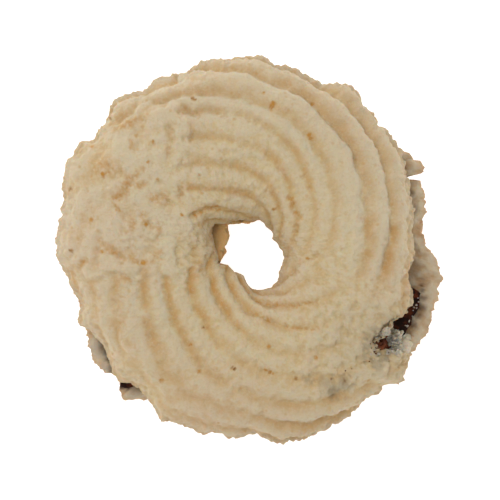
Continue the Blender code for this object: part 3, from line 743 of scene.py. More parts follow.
def groove_pulls(ring):
    """How far the even swirl misses the grooves' and crests' lines, in ridges, and where."""
    pulls = []
    section = ring.section
    radii = section.bulged(section.top(section.angles[None, :])[0])
    for number, *line in GROOVE_LINES:
        for px, py in filled_in(line, GROOVE_LINE_STEP):
            out_x = px * MM - ring.centre[0]
            out_y = py * MM - ring.centre[1]
            row = round(math.atan2(out_y, out_x) / math.tau * len(radii)) % len(radii)
            step = np.argmin(np.abs(radii[row] - math.hypot(out_x, out_y)))
            miss = number - section.arcs[row, step] / RIDGE_PITCH - ring.swirl[row, 0]
            pulls.append((px, py, miss - NOZZLE_TEETH * round(miss / NOZZLE_TEETH)))
    return pulls


upper = RingGrid("piped_ring_upper", UPPER_STEPS, LINES_PER_RIDGE, upper_outline, upper_swirl,
                 UPPER_CENTRE, UPPER_BASE_Z, upright=True)
row_turn = upper.turn
upper.turn = skewed(row_turn, upper.radius)
x, y = upper.ground()

# The grooves. A ridge's phase is a whole number in the grooves on either side of it.
pull = near(x, y, groove_pulls(upper), GROOVE_PULL_REACH)
meander = GROOVE_WANDER * lumps(x, y, upper.height, GROOVE_WANDER_SIZE, octaves=2)
phase = upper.ridge + upper.swirl + pull + meander
off_groove = phase - np.rint(phase)
lean = near(x, y, GROOVE_LEANS, LEAN_REACH)
broad = 0.5 - 0.5 * lean * np.clip(off_groove / FLANK_START, -1.0, 1.0)
sharpness = STEEP_SHARPNESS + (BROAD_SHARPNESS - STEEP_SHARPNESS) * broad
wave_height = np.sqrt(np.sin(math.pi * phase) ** 2 + GROOVE_ROUND ** 2)
groove = 1.0 - np.minimum(wave_height, 1.0) ** sharpness
depth = near(x, y, GROOVE_DEPTHS, DEPTH_REACH)
swing = lumps(x, y + DEPTH_SHIFT, upper.height, DEPTH_SWING_SIZE, octaves=2)
depth = depth * (DEPTH_MEAN + DEPTH_LEANING * lean + DEPTH_SWING * swing)

# The smeared patch, where there are no grooves but streaks and lumps, and the crumbly places.
wander = lumps(x, y, upper.height, PATCH_WANDER_SIZE, octaves=2)
within = from_line(x, y, PATCH_OUTLINE) * np.where(inside_of(x, y, PATCH_OUTLINE), 1.0, -1.0)
smear = smooth_step(*PATCH_FADE, within + PATCH_WANDER * wander)
clean = 1.0 - smear
along = x * math.cos(PATCH_STREAK_TURN) + y * math.sin(PATCH_STREAK_TURN)
across = -x * math.sin(PATCH_STREAK_TURN) + y * math.cos(PATCH_STREAK_TURN)
streaks = lumps(along / PATCH_STREAK, across, upper.height, PATCH_LUMP_SIZE, octaves=3,
                roughness=0.4)
calm = 1.0 - RIM_CALM * upper.rim
relief = smear * (PATCH_LEVEL + PATCH_LUMP * streaks * calm) - clean * depth * MM * groove
crumbles = lumps(x, y, upper.height, CRUMBLY_SIZE, octaves=3, roughness=0.6)
relief += CRUMBLY_LUMP * near(x, y, CRUMBLY, CRUMBLY_REACH) * crumbles * calm

# What is browned and what is pale: the grooves' flanks, the patch, the hollows and the lumps.
# Much of it is painted shade, browner in grooves and hollows, and painted light, paler on crests
# and lumps; the rest is baked colour.
cut_deep = clean * np.clip(depth / FULLY_BROWNED_SHADED_DEPTH, 0.0, 1.0) ** SHALLOW_BROWNING_SHADE
blotches = lumps(x, y, upper.height + BLOTCH_SHIFT, BLOTCH_SIZE, octaves=2)
leans_one_way = 0.5 * (1.0 + lean)
leans_other_way = 0.5 * (1.0 - lean)
groove_browning_and_shade = near(x, y, GROOVE_BROWNING_AND_SHADE, BROWNING_REACH) * cut_deep
browned_and_shaded = groove_browning_and_shade * patchy(blotches, middle=0.9, swing=0.9) * (
    leans_one_way * flank(-off_groove, *BROWNED_SHADED_FLANKS[0])
    + leans_other_way * flank(off_groove, *BROWNED_SHADED_FLANKS[1])
)
pale_and_lit = cut_deep * patchy(blotches, middle=0.95, swing=-0.9) * (
    leans_one_way * flank(off_groove, *PALE_LIT_FLANKS[0])
    + leans_other_way * flank(-off_groove, *PALE_LIT_FLANKS[1])
)
# The patch is paler where its streaks stand high: painted light.
pale_and_lit = np.maximum(pale_and_lit, smear * patchy(streaks, middle=0.3, swing=1.0, most=0.6))
# Painted shade: less pale on the hole's wall.
hole_wall = smooth_step(*HOLE_WALL_ANGLES, upper.angle + HOLE_WALL_RAGGED * blotches)
pale_and_lit *= 1.0 - HOLE_WALL_SHADE * hole_wall
fray = FRAY * lumps(x, y, upper.height, FRAY_SIZE, octaves=3)
grains = lumps(x, y, upper.height, GRAIN_SIZE, octaves=2, roughness=0.7)
grainy = patchy(grains, middle=0.65, swing=0.9)
for hollow_depth, half_width, brown, *line in HOLLOWS:
    amount = mound(from_line(x, y, line) + fray, half_width)
    relief -= hollow_depth * MM * amount
    browned_and_shaded = np.maximum(browned_and_shaded, brown * amount * grainy)
for place_x, place_y, size, lump_height in LUMPS:
    amount = mound(np.hypot(x - place_x * MM, y - place_y * MM) + LUMP_FRAY * fray, size)
    relief += lump_height * MM * amount
    pale_and_lit = np.maximum(pale_and_lit, LUMP_LIGHT * amount)

# Specks and stains.
orange = near(x, y, BUTTERY_AND_WARM_SHADE, BROWNING_REACH) * browned_and_shaded
dark = np.zeros_like(x)
for place_x, place_y, size, brown, black in SPECKS:
    away = np.hypot(x - place_x * MM, y - place_y * MM) + SPECK_FRAY * fray
    amount = brown * spot(away, size, core=0.4, rim=1.2)
    browned_and_shaded = np.maximum(browned_and_shaded, amount)
    orange = np.maximum(orange, amount * (1.0 - 0.5 * black))
    dark = np.maximum(dark, black * spot(away, size, core=0.3, rim=1.1))
stained_and_shaded = np.zeros_like(x)
for place_x, place_y, size, stain in STAINS_AND_SHADE:
    away = np.hypot(x - place_x * MM, y - place_y * MM) + STAIN_FRAY * fray
    stained_and_shaded = np.maximum(stained_and_shaded, stain * spot(away, size, core=0.2, rim=1.3))

# The relief goes onto the ring, which slumps at the break, and then the finer unevenness.
relief = np.where(relief > 0.0, HIGHEST_LUMP * np.tanh(relief / HIGHEST_LUMP), relief)
slump = 1.0 - smooth_step(0.0, SLUMP_WIDTH, from_line(x, y, SLUMP_LINE) + SLUMP_FRAY * fray)
upper.height = upper.height * (1.0 - SLUMP * slump)
upper.push(relief * ~upper.on_base)
upper.push(UNEVEN * lumps(x, y, upper.height, UNEVEN_SIZE))
grit = lumps(x, y, upper.height, CRUMB_SIZE, octaves=3, roughness=0.6)
upper.push(CRUMB * grit)
# Painted shade in the dips and painted highlight on the bumps, from how far each point lies below
# or above the dough around it.
dips = below_around(relief + 0.5 * CRUMB * grit, DIP_LINES[0])
dips = (dips + FAR_DIP * below_around(relief, DIP_LINES[1])) / DIP_DEPTH
dip_shade = DIP_SHADE * grainy * np.clip(dips, 0.0, 1.0)
browned_and_shaded = np.clip(np.maximum(browned_and_shaded, 0.4 * browned_and_shaded + dip_shade), 0.0, 1.0)
pale_and_lit = np.maximum(pale_and_lit, BUMP_LIGHT * np.clip(-2.0 * dips, 0.0, 1.0))
edge_crumbs = lumps(x, y, upper.height + EDGE_CRUMB_SHIFT, EDGE_CRUMB_SIZE, octaves=3)
upper.push(EDGE_CRUMB * upper.rim * edge_crumbs)

# The break: what lies beyond the torn edge is drawn back to it.
torn_turns, torn_radii = np.array(TORN_EDGE).T
row_turn_from_x = angle_between(row_turn, 0.0)
torn = np.interp(row_turn_from_x, np.radians(torn_turns), torn_radii * MM, left=1.0, right=1.0)
torn = torn + TORN_ROUGH * lumps(x, y, upper.height, TORN_ROUGH_SIZE, octaves=3)
broken = smooth_step(0.0, TORN_LIP, upper.radius - torn)
upper.radius = np.minimum(upper.radius, torn)
upper.turn = skewed(row_turn, upper.radius)
upper.settle()

side = 1.0 - smooth_step(*SIDE_ANGLES, upper.angle)
browned_and_shaded = np.where(upper.on_base, BASE_BROWNED, np.maximum(browned_and_shaded, SIDE_BROWNED * side))
# The side is greyed as painted shade.
stained_and_shaded = np.maximum(np.maximum(stained_and_shaded, SIDE_SHADE * side), TORN_STAINED * broken)
smeared = 1.0 - smooth_step(*TORN_SMEARED_HEIGHTS, upper.height)
smeared *= broken * (1.0 - slump)
dark = np.maximum(dark, smeared * patchy(grit, middle=0.5, swing=1.4, most=0.9))
upper.paint("browned_and_shaded", browned_and_shaded * (1.0 - broken))
upper.paint("buttery_and_painted_light", orange)
for name, amount in (("pale_and_lit", pale_and_lit), ("stained_and_shaded", stained_and_shaded), ("dark", dark)):
    upper.paint(name, np.where(upper.on_base, 0.0, amount))
upper.paint("rosy_and_shade", near(x, y, ROSY_AND_SHADE, ROSY_REACH))
upper.paint("golden", near(x, y, GOLDEN, GOLDEN_REACH))


def linear(hex_colour):
    """An sRGB hex colour as linear red, green, blue and alpha."""
    shares = [int(hex_colour[i:i + 2], 16) / 255.0 for i in (1, 3, 5)]
    turned = [share / 12.92 if share <= 0.04045 else ((share + 0.055) / 1.055) ** 2.4
              for share in shares]
    return (*turned, 1.0)


def add_node(material, kind, settings, inputs):
    """Add a shader node: its settings by name, its inputs as values or other nodes' outputs."""
    tree = material.node_tree
    node = tree.nodes.new(kind)
    for name, value in settings.items():
        setattr(node, name, value)
    for socket, value in inputs.items():
        if isinstance(value, bpy.types.NodeSocket):
            tree.links.new(value, node.inputs[socket])
        else:
            node.inputs[socket].default_value = value
    return node


def baked_dough(name, crumb, mottled, rosy_and_shade, golden, floury_and_lit, toasted_and_shade, buttery_and_painted_light, greyed_and_shaded,
                smudge_and_shade="#4A2412"):
    """Butter shortbread dough, baked: matt, sandy and a little translucent, so soft in shade.
    It is browner where it was thin, greyer where flour or filling stuck to it. Its painted amounts
    also carry painted shade, browner, greyer and darker where shade falls, and painted light,
    paler where light falls."""
    material = bpy.data.materials.new(name)
    material.use_nodes = True
    material.node_tree.nodes.clear()
    place = add_node(material, "ShaderNodeTexCoord", {}, {}).outputs["Object"]
    clouds = add_node(material, "ShaderNodeTexNoise", {}, {
        "Vector": place, "Scale": 1.0 / (2.2 * MM), "Detail": 4.0, "Roughness": 0.6,
    })
    cloudy = add_node(material, "ShaderNodeMapRange", {}, {
        "Value": clouds.outputs["Fac"], "From Min": 0.42, "From Max": 0.66, "To Max": 0.7,
    })
    colour = add_node(material, "ShaderNodeMix", {"data_type": "RGBA"}, {
        0: cloudy.outputs["Result"], 6: linear(crumb), 7: linear(mottled),
    })
    # Painted amounts, which are partly baked colour and partly painted light and shade.
    for painted, paint in (
        ("rosy_and_shade", rosy_and_shade), ("golden", golden), ("pale_and_lit", floury_and_lit), ("browned_and_shaded", toasted_and_shade),
        ("buttery_and_painted_light", buttery_and_painted_light),
    ):
        amount = add_node(material, "ShaderNodeAttribute", {"attribute_name": painted}, {})
        colour = add_node(material, "ShaderNodeMix", {"data_type": "RGBA"}, {
            0: amount.outputs["Fac"], 6: colour.outputs[2], 7: linear(paint),
        })
    sand = add_node(material, "ShaderNodeTexNoise", {}, {
        "Vector": place, "Scale": 1.0 / (0.36 * MM), "Detail": 4.0, "Roughness": 0.6,
    })
    pores = add_node(material, "ShaderNodeTexVoronoi", {}, {
        "Vector": place, "Scale": 1.0 / (1.9 * MM), "Randomness": 1.0,
    })
    # Brown and pale grains of sugar and flour, and orange freckles where butter ran.
    for grains, low, high, most, paint in (
        (sand.outputs["Fac"], 0.52, 0.76, 0.32, toasted_and_shade),
        (sand.outputs["Fac"], 0.48, 0.28, 0.40, floury_and_lit),
        (pores.outputs["Distance"], 0.20, 0.04, 0.35, buttery_and_painted_light),
    ):
        amount = add_node(material, "ShaderNodeMapRange", {}, {
            "Value": grains, "From Min": low, "From Max": high, "To Max": most,
        })
        colour = add_node(material, "ShaderNodeMix", {"data_type": "RGBA"}, {
            0: amount.outputs["Result"], 6: colour.outputs[2], 7: linear(paint),
        })
    for painted, paint in (("stained_and_shaded", greyed_and_shaded), ("dark", smudge_and_shade)):
        amount = add_node(material, "ShaderNodeAttribute", {"attribute_name": painted}, {})
        colour = add_node(material, "ShaderNodeMix", {"data_type": "RGBA"}, {
            0: amount.outputs["Fac"], 6: colour.outputs[2], 7: linear(paint),
        })
    bump = add_node(material, "ShaderNodeBump", {}, {
        "Strength": 1.0, "Distance": 0.20 * MM, "Height": sand.outputs["Fac"],
    })
    shader = add_node(material, "ShaderNodeBsdfPrincipled", {}, {
        "Base Color": colour.outputs[2], "Roughness": 0.85, "Normal": bump.outputs["Normal"],
        "IOR": 1.45, "Specular IOR Level": 0.2,
        "Subsurface Weight": 0.55, "Subsurface Radius": (1.0, 0.52, 0.26),
        "Subsurface Scale": 0.6 * MM,
    })
    add_node(material, "ShaderNodeOutputMaterial", {}, {"Surface": shader.outputs["BSDF"]})
    return material


upper.piece.data.materials.clear()
upper.piece.data.materials.append(baked_dough(
    "baked_butter_dough", crumb="#DACCAB", mottled="#D5C39D", rosy_and_shade="#D0B292", golden="#D2BB8B",
    floury_and_lit="#D4C6AB", toasted_and_shade="#C09A66", buttery_and_painted_light="#C28C40", greyed_and_shaded="#877961"
))
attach(upper.piece, "root")
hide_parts("upper_ring")


# ---------------------------------------------------------------- The lower ring
# A second ring, piped like the first and turned over, so that its flat base faces up and its
# ridges face down. The base is browner from the tray, and the edge was squashed outwards.

LOWER_STEPS = 600
LOWER_LINES_PER_RIDGE = 12
LOWER_CENTRE = (0.95 * MM, -0.95 * MM)
LOWER_OUTER_R = 29.3 * MM
# The corners of its edge and of its hole where they show, and at rounder places elsewhere.
LOWER_EDGE = (
    (23.5, -21.4), (24.3, -21), (24.5, -20.2), (24.7, -19), (25.2, -18.2), (25.3, -17.2),
    (26, -16.3), (26.9, -15), (28.2, -13.4), (29, -11.6), (29.4, -9.2), (30.3, -7.3),
    (30.2, -6.1), (31, -4.6), (30.3, -3), (30.3, -2), (29.2, -0.3), (28.1, 0.7), (27.5, 3.2),
    (27.5, 5.1), (28.4, 6.1), (28, 7.2), (28.1, 8.6), (27.6, 10.3), (27.2, 11.3), (25.3, 11.3),
    (25.0, 11.8), (26.1, 12.6), (26.9, 13.3), (27.1, 13.8), (27.1, 14.5), (26.9, 15.0),
    (26.7, 15.4), (26.35, 15.5), (25.7, 15.35), (25.5, 15.7), (25.4, 16.0), (25.0, 16.1),
    (24.2, 16.3), (23.3, 16.4), (21, 19), (12, 25.2), (0, 28), (-12, 25.2), (-20, 20.2),
    (-26, 11), (-28.2, 0), (-27, -9.5), (-26, -13.5), (-25.9, -15.2), (-24.8, -18),
    (-23.3, -19.6), (-22, -19.7), (-21.3, -20.2), (-20.8, -21), (-20.8, -22.4), (-20.1, -23.9),
    (-17.2, -23.9), (-15.5, -23.8), (-9, -27.5), (0, -29.2), (9, -28.6), (17, -24.8), (20, -22.5),
    (22, -21.2),
)
LOWER_HOLE = (
    (5.6, -1.2), (4.4, 1.2), (3.4, 3.1), (1.4, 5), (0, 4), (-3.4, 3.9), (-3.2, 2.2), (-3.7, 0.8),
    (-3.6, -0.4), (-4.8, -2.1), (-3.4, -2.6), (-0.7, -5.4), (0.4, -6.4), (1.8, -6.5), (4.7, -5),
    (4.6, -3.2),
)
# Outside a radius, the lobe above the notch at the right leans over it, by an angle for each mm.
LOBE_LEAN = math.radians(1.0) / MM
LOBE_START = 27.3 * MM
LOBE_TURNS = [math.radians(turn) for turn in (27.7, 28.1, 33.0, 40.0)]
LOWER_NOTCH_TURN = math.radians(27)   # a groove runs into the notch
LOWER_BASE_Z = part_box("lower_ring")[1].z
LOWER_RIDGE_DEPTH = 1.2 * MM
LOWER_GROOVE_SHARPNESS = 0.6
LOWER_EDGE_CRUMB = 1.1 * EDGE_CRUMB
LIP_ROUND = 0.9 * MM     # how far the base's edge is rounded down, over a width
LIP_ROUND_WIDTH = 1.6 * MM
FADE_DOWN = 3.0 * MM     # what is done to the base reaches this far down the ring's sides
# How far above the base the dough stands that was pressed out at the break and into the hole:
# a place in mm, and how many times the rise.
LIP_RISE = 0.9 * MM
LIP_PLACES = (
    (30, 0, 0.2), (28.6, -4, 0.8), (28.6, -8, 1.0), (27.8, -11, 1.0), (26.5, -14, 0.8),
    (25, -17, 0.5), (26.2, -5, 0.0), (26, -9, 0.0), (24, -12, 0.0), (27, 6, 0.0), (-3.6, 0, 1.9),
    (-3.4, 3, 1.9), (-4.8, 1.5, 2.0), (-6.2, 2, 0.5), (-8, 2, 0.0), (0, 7, 0.0), (5, 3, 0.0),
    (4, -7, 0.0), (-6, -5, 0.0), (0, -6, 0.0), (-12, 0, 0.0), (-20, -20, 0.2),
    (-25.2, -15.5, 1.3), (-24, -18.6, 1.2), (-19.5, -23.5, 1.2), (-17, -23.5, 1.2),
    (-22, -16, 0.2), (-18, -20, 0.2), (20, -20, 0.0), (0, 28, 0.0),
)
LIP_REACH = 1.1 * MM
LIP_LUMP = 0.70 * MM
LIP_LUMP_SIZE = 2.0 * MM
LIP_LUMP_RADII = (23.5 * MM, 25.0 * MM)
# Between these radii the base goes from the browned part that the upper ring covers to the rim.
# The covered part, seen only down the hole, is painted lighter and more orange than it is: painted
# light against the shade there.
RIM_RADII = (8.0 * MM, 24.0 * MM)
COVERED_BROWNED = 0.12
COVERED_LIGHT = 0.75
RIM_DIP_SHADE = 0.5
RIM_ROSY = 0.6
RIM_STAINED = 0.1
RIDGES_BROWNED = 0.3
LOWER_FRAY = 0.3 * MM
LOWER_FRAY_SIZE = 0.9 * MM
# Smears of filling on the base, and the three near (26, 9), which are painted shadow under the
# upper ring's edge: place, radius in mm, how dark.
SMEARS_AND_SHADOW = (
    (27.4, -4.6, 0.35, 0.5), (27.5, -5.6, 0.40, 0.75), (27.7, -6.6, 0.60, 0.6),
    (27.7, -7.8, 0.70, 0.6), (27.6, -9.2, 0.80, 0.6), (27.0, -10.6, 0.80, 0.6),
    (26.2, -12.0, 0.80, 0.55), (25.4, -13.2, 0.7, 0.5), (25.3, -4.2, 0.40, 0.5),
    (25.5, -6.4, 0.45, 0.7), (-22.6, -17.6, 0.60, 0.8), (-22.9, -16.4, 0.60, 0.55),
    (-23.5, -15.6, 0.60, 0.45), (-22.3, -19.0, 0.60, 0.8), (-20.4, -21.6, 0.90, 1.0),
    (-19.4, -21.9, 0.60, 0.9), (26.0, 9.0, 0.50, 0.45), (25.8, 7.8, 0.40, 0.45),
    (25.6, 10.6, 0.40, 0.5),
)
# Painted grey shade: on the lobes at the lower left, under the upper ring's edge, and two grey
# patches of shadow at the right edge: place, radius in mm, how much.
LOWER_GREY_SHADE = (
    (-18.6, -23.0, 1.6, 0.45), (-24.6, -16.0, 2.2, 0.50), (-23.2, -19, 1.4, 0.6),
    (29.6, -1.6, 1.0, 0.4), (26.5, 10.8, 0.8, 0.5),
)


def lower_outline(turns):
    """The lower ring's outer and hole radius and how far both bulge, at each angle."""
    outer = np.full_like(turns, LOWER_OUTER_R)
    hole = np.full_like(turns, RING_HOLE_R)
    edge_bulge = outline_radius(-turns, LOWER_EDGE, LOWER_CENTRE) - outer
    return outer, hole, edge_bulge, outline_radius(-turns, LOWER_HOLE, LOWER_CENTRE) - hole


def lower_swirl(turns):
    """How many ridges have passed the outer edge at each angle, all evenly spaced."""
    return NOZZLE_TEETH * (turns + LOWER_NOTCH_TURN) / math.tau


lower = RingGrid("piped_ring_lower", LOWER_STEPS, LOWER_LINES_PER_RIDGE, lower_outline, lower_swirl,
                 LOWER_CENTRE, LOWER_BASE_Z, upright=False)
edge = outline_radius(-lower.turn, LOWER_EDGE, LOWER_CENTRE)
turn_from_x = angle_between(-lower.turn, 0.0)
lobe = smooth_step(LOBE_TURNS[0], LOBE_TURNS[1], turn_from_x)
lobe *= 1.0 - smooth_step(LOBE_TURNS[2], LOBE_TURNS[3], turn_from_x)
lower.turn = lower.turn + LOBE_LEAN * lobe * np.maximum(lower.radius - LOBE_START, 0.0)
x, y = lower.ground()
phase = lower.ridge + lower.swirl
groove = 1.0 - np.abs(np.sin(math.pi * phase)) ** LOWER_GROOVE_SHARPNESS
lower.push(-LOWER_RIDGE_DEPTH * groove * (1.0 - lower.rim) * ~lower.on_base)
lower.push(UNEVEN * lumps(x, y, lower.height, UNEVEN_SIZE))
lower.push(CRUMB * lumps(x, y, lower.height, CRUMB_SIZE, octaves=3, roughness=0.6))
edge_crumbs = lumps(x, y, lower.height, EDGE_CRUMB_SIZE, octaves=3)
lower.push(LOWER_EDGE_CRUMB * lower.rim * edge_crumbs)

# The base: its edge is rounded down, and the lip is raised and lumpy.
from_edge = np.clip(1.0 - (edge - lower.radius) / LIP_ROUND_WIDTH, 0.0, 1.0)
rise = LIP_RISE * near(x, y, LIP_PLACES, LIP_REACH)
knobs = lumps(x, y, 0.0 * x, LIP_LUMP_SIZE, octaves=4, roughness=0.55)
rise = rise + LIP_LUMP * knobs * smooth_step(*LIP_LUMP_RADII, lower.radius)
fade_down = np.clip(1.0 - lower.height / FADE_DOWN, 0.0, 1.0)
lower.height = lower.height + (LIP_ROUND * from_edge ** 2 - rise) * fade_down
lower.height = np.minimum(lower.height, LOWER_BASE_Z)
lower.settle()

fray = LOWER_FRAY * lumps(x, y, lower.height, LOWER_FRAY_SIZE, octaves=2)
dark = np.zeros_like(x)
for place_x, place_y, size, black in SMEARS_AND_SHADOW:
    away = np.hypot(x - place_x * MM, y - place_y * MM) + fray
    dark = np.maximum(dark, black * spot(away, size, core=0.2, rim=1.3))
stained_and_shaded = np.zeros_like(x)
for place_x, place_y, size, stain in LOWER_GREY_SHADE:
    away = np.hypot(x - place_x * MM, y - place_y * MM) + 2.0 * fray
    stained_and_shaded = np.maximum(stained_and_shaded, stain * spot(away, size, core=0.3, rim=1.2))
covered = 1.0 - smooth_step(*RIM_RADII, lower.radius)
bare = 1.0 - covered
# Painted shade in the lip's dips and painted light on its knobs.
dips = np.clip(-2.0 * knobs, 0.0, 1.0)
browned_and_shaded = COVERED_BROWNED * covered + RIM_DIP_SHADE * dips * bare
pale_and_lit = bare * patchy(knobs, middle=0.4, swing=1.8, most=0.8)
lower.paint("browned_and_shaded", np.where(lower.on_base, browned_and_shaded, RIDGES_BROWNED))
lower.paint("pale_and_lit", np.where(lower.on_base, pale_and_lit, 0.0))
lower.paint("rosy_and_shade", RIM_ROSY * bare)
# Painted light on the covered part seen down the hole.
lower.paint("buttery_and_painted_light", COVERED_LIGHT * covered)
lower.paint("stained_and_shaded", np.maximum(stained_and_shaded * fade_down, RIM_STAINED * bare))
lower.paint("dark", dark * fade_down)
lower.piece.data.materials.clear()
lower.piece.data.materials.append(baked_dough(
    "baked_butter_dough_browner", crumb="#D0BE9A", mottled="#C6AE84", rosy_and_shade="#C6A888",
    golden="#D0BC8E", floury_and_lit="#CCBEA2", toasted_and_shade="#BE9058", buttery_and_painted_light="#E0B470", greyed_and_shaded="#B2A799"
))
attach(lower.piece, "root")
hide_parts("lower_ring")


# ---------------------------------------------------------------- The filling
# A dark, sticky layer that holds the rings together. It is spread by hand, so it stops short
# of the edge but for two places, and its surface is rough where it broke or oozed.

FILLING_STEPS = 480
FILLING_SIDES = 48
FILLING_HOLE_R = 7.2 * MM
FILLING_SQUARENESS = 0.35    # below 1, the section is fuller than an ellipse
# Its edge where it differs: direction and radius round the upper ring's centre, in degrees and mm.
FILLING_EDGE = (
    (-141.8, 28.2), (-136, 28.0), (-133.4, 29.7), (-131, 28.7), (-128, 26.0), (-124, 24.0),
    (-50, 24.0), (-44, 25.5), (-40, 27.0), (-37, 27.6), (-34, 28.4), (-30, 28.5), (-26.3, 28.6),
    (-23.2, 28.4), (-21, 28.4), (-18.6, 28.8), (-15.5, 28.8), (-13, 28.5), (-12.0, 27.0),
    (-11.2, 25.0), (-8, 24.0), (205, 24.0), (212, 26.0),
)
FILLING_ROUGH = 0.44 * MM    # at the edge; half of it on the flat sides
FILLING_ROUGH_SIZE = 1.6 * MM


def square(value):
    """A cosine or sine, pushed towards 1 or -1, which squares a round section."""
    return np.copysign(np.abs(value) ** FILLING_SQUARENESS, value)


layer, row, column = blank_ring("dark_filling_layer", FILLING_STEPS, FILLING_SIDES)
turn = math.tau * row / FILLING_STEPS
angle = math.tau * column / FILLING_SIDES
edge_turns, edge_radii = np.array(FILLING_EDGE).T
outer = np.interp(turn, np.radians(edge_turns) % math.tau, edge_radii * MM, period=math.tau)
middle = 0.5 * (outer + FILLING_HOLE_R)
radius = middle + (outer - middle) * square(np.cos(angle))
bottom_z, top_z = (corner.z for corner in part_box("filling"))
height = 0.5 * (bottom_z + top_z) + 0.5 * (top_z - bottom_z) * square(np.sin(angle))
rough = lumps(radius * np.cos(turn), radius * np.sin(turn), height, FILLING_ROUGH_SIZE, octaves=4)
radius += FILLING_ROUGH * rough * np.cos(angle)
height += 0.5 * FILLING_ROUGH * rough * np.sin(angle)
points = np.stack([radius * np.cos(turn) + UPPER_CENTRE[0],
                   radius * np.sin(turn) + UPPER_CENTRE[1], height], axis=-1)
layer.data.vertices.foreach_set("co", points.ravel())
layer.data.update()
layer.data.shade_smooth()


def sweet_paste(name, mass, thin, low, high):
    """Cooked fruit or cocoa paste: nearly black in the mass, red-brown where thin, and glossy.
    Its clots go from the one to the other between two levels of their noise, low and high."""
    material = bpy.data.materials.new(name)
    material.use_nodes = True
    material.node_tree.nodes.clear()
    place = add_node(material, "ShaderNodeTexCoord", {}, {}).outputs["Object"]
    clots = add_node(material, "ShaderNodeTexNoise", {}, {
        "Vector": place, "Scale": 1.0 / (1.8 * MM), "Detail": 5.0, "Roughness": 0.65,
    })
    shade = add_node(material, "ShaderNodeMapRange", {}, {
        "Value": clots.outputs["Fac"], "From Min": low, "From Max": high,
    })
    colour = add_node(material, "ShaderNodeMix", {"data_type": "RGBA"}, {
        0: shade.outputs["Result"], 6: linear(mass), 7: linear(thin),
    })
    wet = add_node(material, "ShaderNodeMapRange", {}, {
        "Value": clots.outputs["Fac"], "To Min": 0.45, "To Max": 0.70,
    })
    bump = add_node(material, "ShaderNodeBump", {}, {
        "Strength": 0.6, "Distance": 0.25 * MM, "Height": clots.outputs["Fac"],
    })
    shader = add_node(material, "ShaderNodeBsdfPrincipled", {}, {
        "Base Color": colour.outputs[2], "Roughness": wet.outputs["Result"],
        "Normal": bump.outputs["Normal"], "IOR": 1.45, "Specular IOR Level": 0.12,
    })
    add_node(material, "ShaderNodeOutputMaterial", {}, {"Surface": shader.outputs["BSDF"]})
    return material


layer.data.materials.clear()
layer.data.materials.append(
    sweet_paste("dark_sweet_paste", mass="#1E0C04", thin="#642C10", low=0.46, high=0.64)
)
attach(layer, "root")
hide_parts("filling")


# ---------------------------------------------------------------- Loose crumbs of dough
# Pale, unbrowned grains from the inside of the dough, which broke off at the tear. They lie in
# a heap on the filling, with larger flakes in front of it and single ones along the lip.

# Place and breadth, in mm.
DOUGH_CRUMBS = (
    (24.8, -14.1, 1.4), (24.8, -14.8, 1.6), (24.9, -15.4, 1.7), (24.8, -16.0, 1.4),
    (22.9, -14.3, 2.1), (23.5, -13.6, 1.5), (22.3, -15.4, 1.6), (23.3, -15.5, 2.0),
    (22.2, -13.9, 1.3), (21.6, -12.9, 1.3), (22.5, -13.1, 1.1), (21.0, -13.2, 0.9),
    (21.9, -13.5, 0.8), (22.6, -14.6, 0.8), (23.1, -14.0, 0.7), (23.0, -15.0, 0.8),
    (22.1, -14.9, 0.6), (23.6, -14.6, 0.7), (23.7, -13.2, 0.6), (22.7, -15.9, 0.7),
    (24.0, -14.6, 1.0), (24.1, -15.6, 1.0), (24.3, -13.2, 0.8), (23.6, -16.3, 0.9),
    (21.9, -16.3, 0.6), (20.4, -16.6, 0.5), (20.2, -13.9, 0.4), (19.6, -17.4, 0.35),
    (19.2, -16.6, 0.35), (25.2, -12.2, 0.40), (26.6, -8.8, 0.35), (26.3, -9.2, 0.30),
    (27.0, -8.3, 0.30), (26.1, -9.7, 0.25), (26.7, -9.3, 0.25), (26.0, -10.6, 0.25),
    (25.5, -11.4, 0.30), (24.9, -12.1, 0.30), (26.9, -7.7, 0.25),
)
# How greyed the crumbs are, by the filling and as painted shade among the grains, and so how
# dark the painted shade is that stands for the gaps between them.
CRUMB_STAINS_AND_SHADE = (
    (24.6, -14.8, 0.0), (25.0, -15.8, 0.0), (24.4, -13.4, 0.15), (22.8, -14.4, 0.6),
    (23.3, -15.6, 0.35), (21.6, -12.9, 0.4), (22.4, -13.2, 0.6), (21.9, -15.2, 0.9),
    (20.4, -16.6, 0.5), (26.5, -9, 1.0), (26, -11, 1.0), (27, -8, 1.0), (25, -12, 0.8),
)
CRUMB_STAIN_REACH = 0.5 * MM
CRUMB_GAP_SHADE_SIZE = 0.4 * MM
# How much of its breadth a grain is high, and how much it has sunk in.
CRUMB_HEIGHT = 0.75
CRUMB_SUNK = 0.20
# How knobbly a grain is, as a share of its radius, and how many knobs there are to a radius.
CRUMB_KNOBS = ((0.6, 1.1), (0.42, 2.9))
SMOOTH_BREADTH = 0.6     # broader grains, in mm, get more faces
# The finer grains that lie on and around each: how many to a mm of its breadth, how broad in mm,
# and how far out, as a share of its breadth. Small grains and the flakes beyond an x have none.
FINE_GRAINS = 11
FINE_BREADTH = (0.15, 0.45)
FINE_AWAY = (0.1, 0.6)
BARE_BREADTH = 0.38
FLAKES_X = 24.3
DROP_Z = 40.0 * MM       # above all that a grain can fall on
PATTERN_RANGE = 50.0     # each grain takes its knobs from its own place in the noise


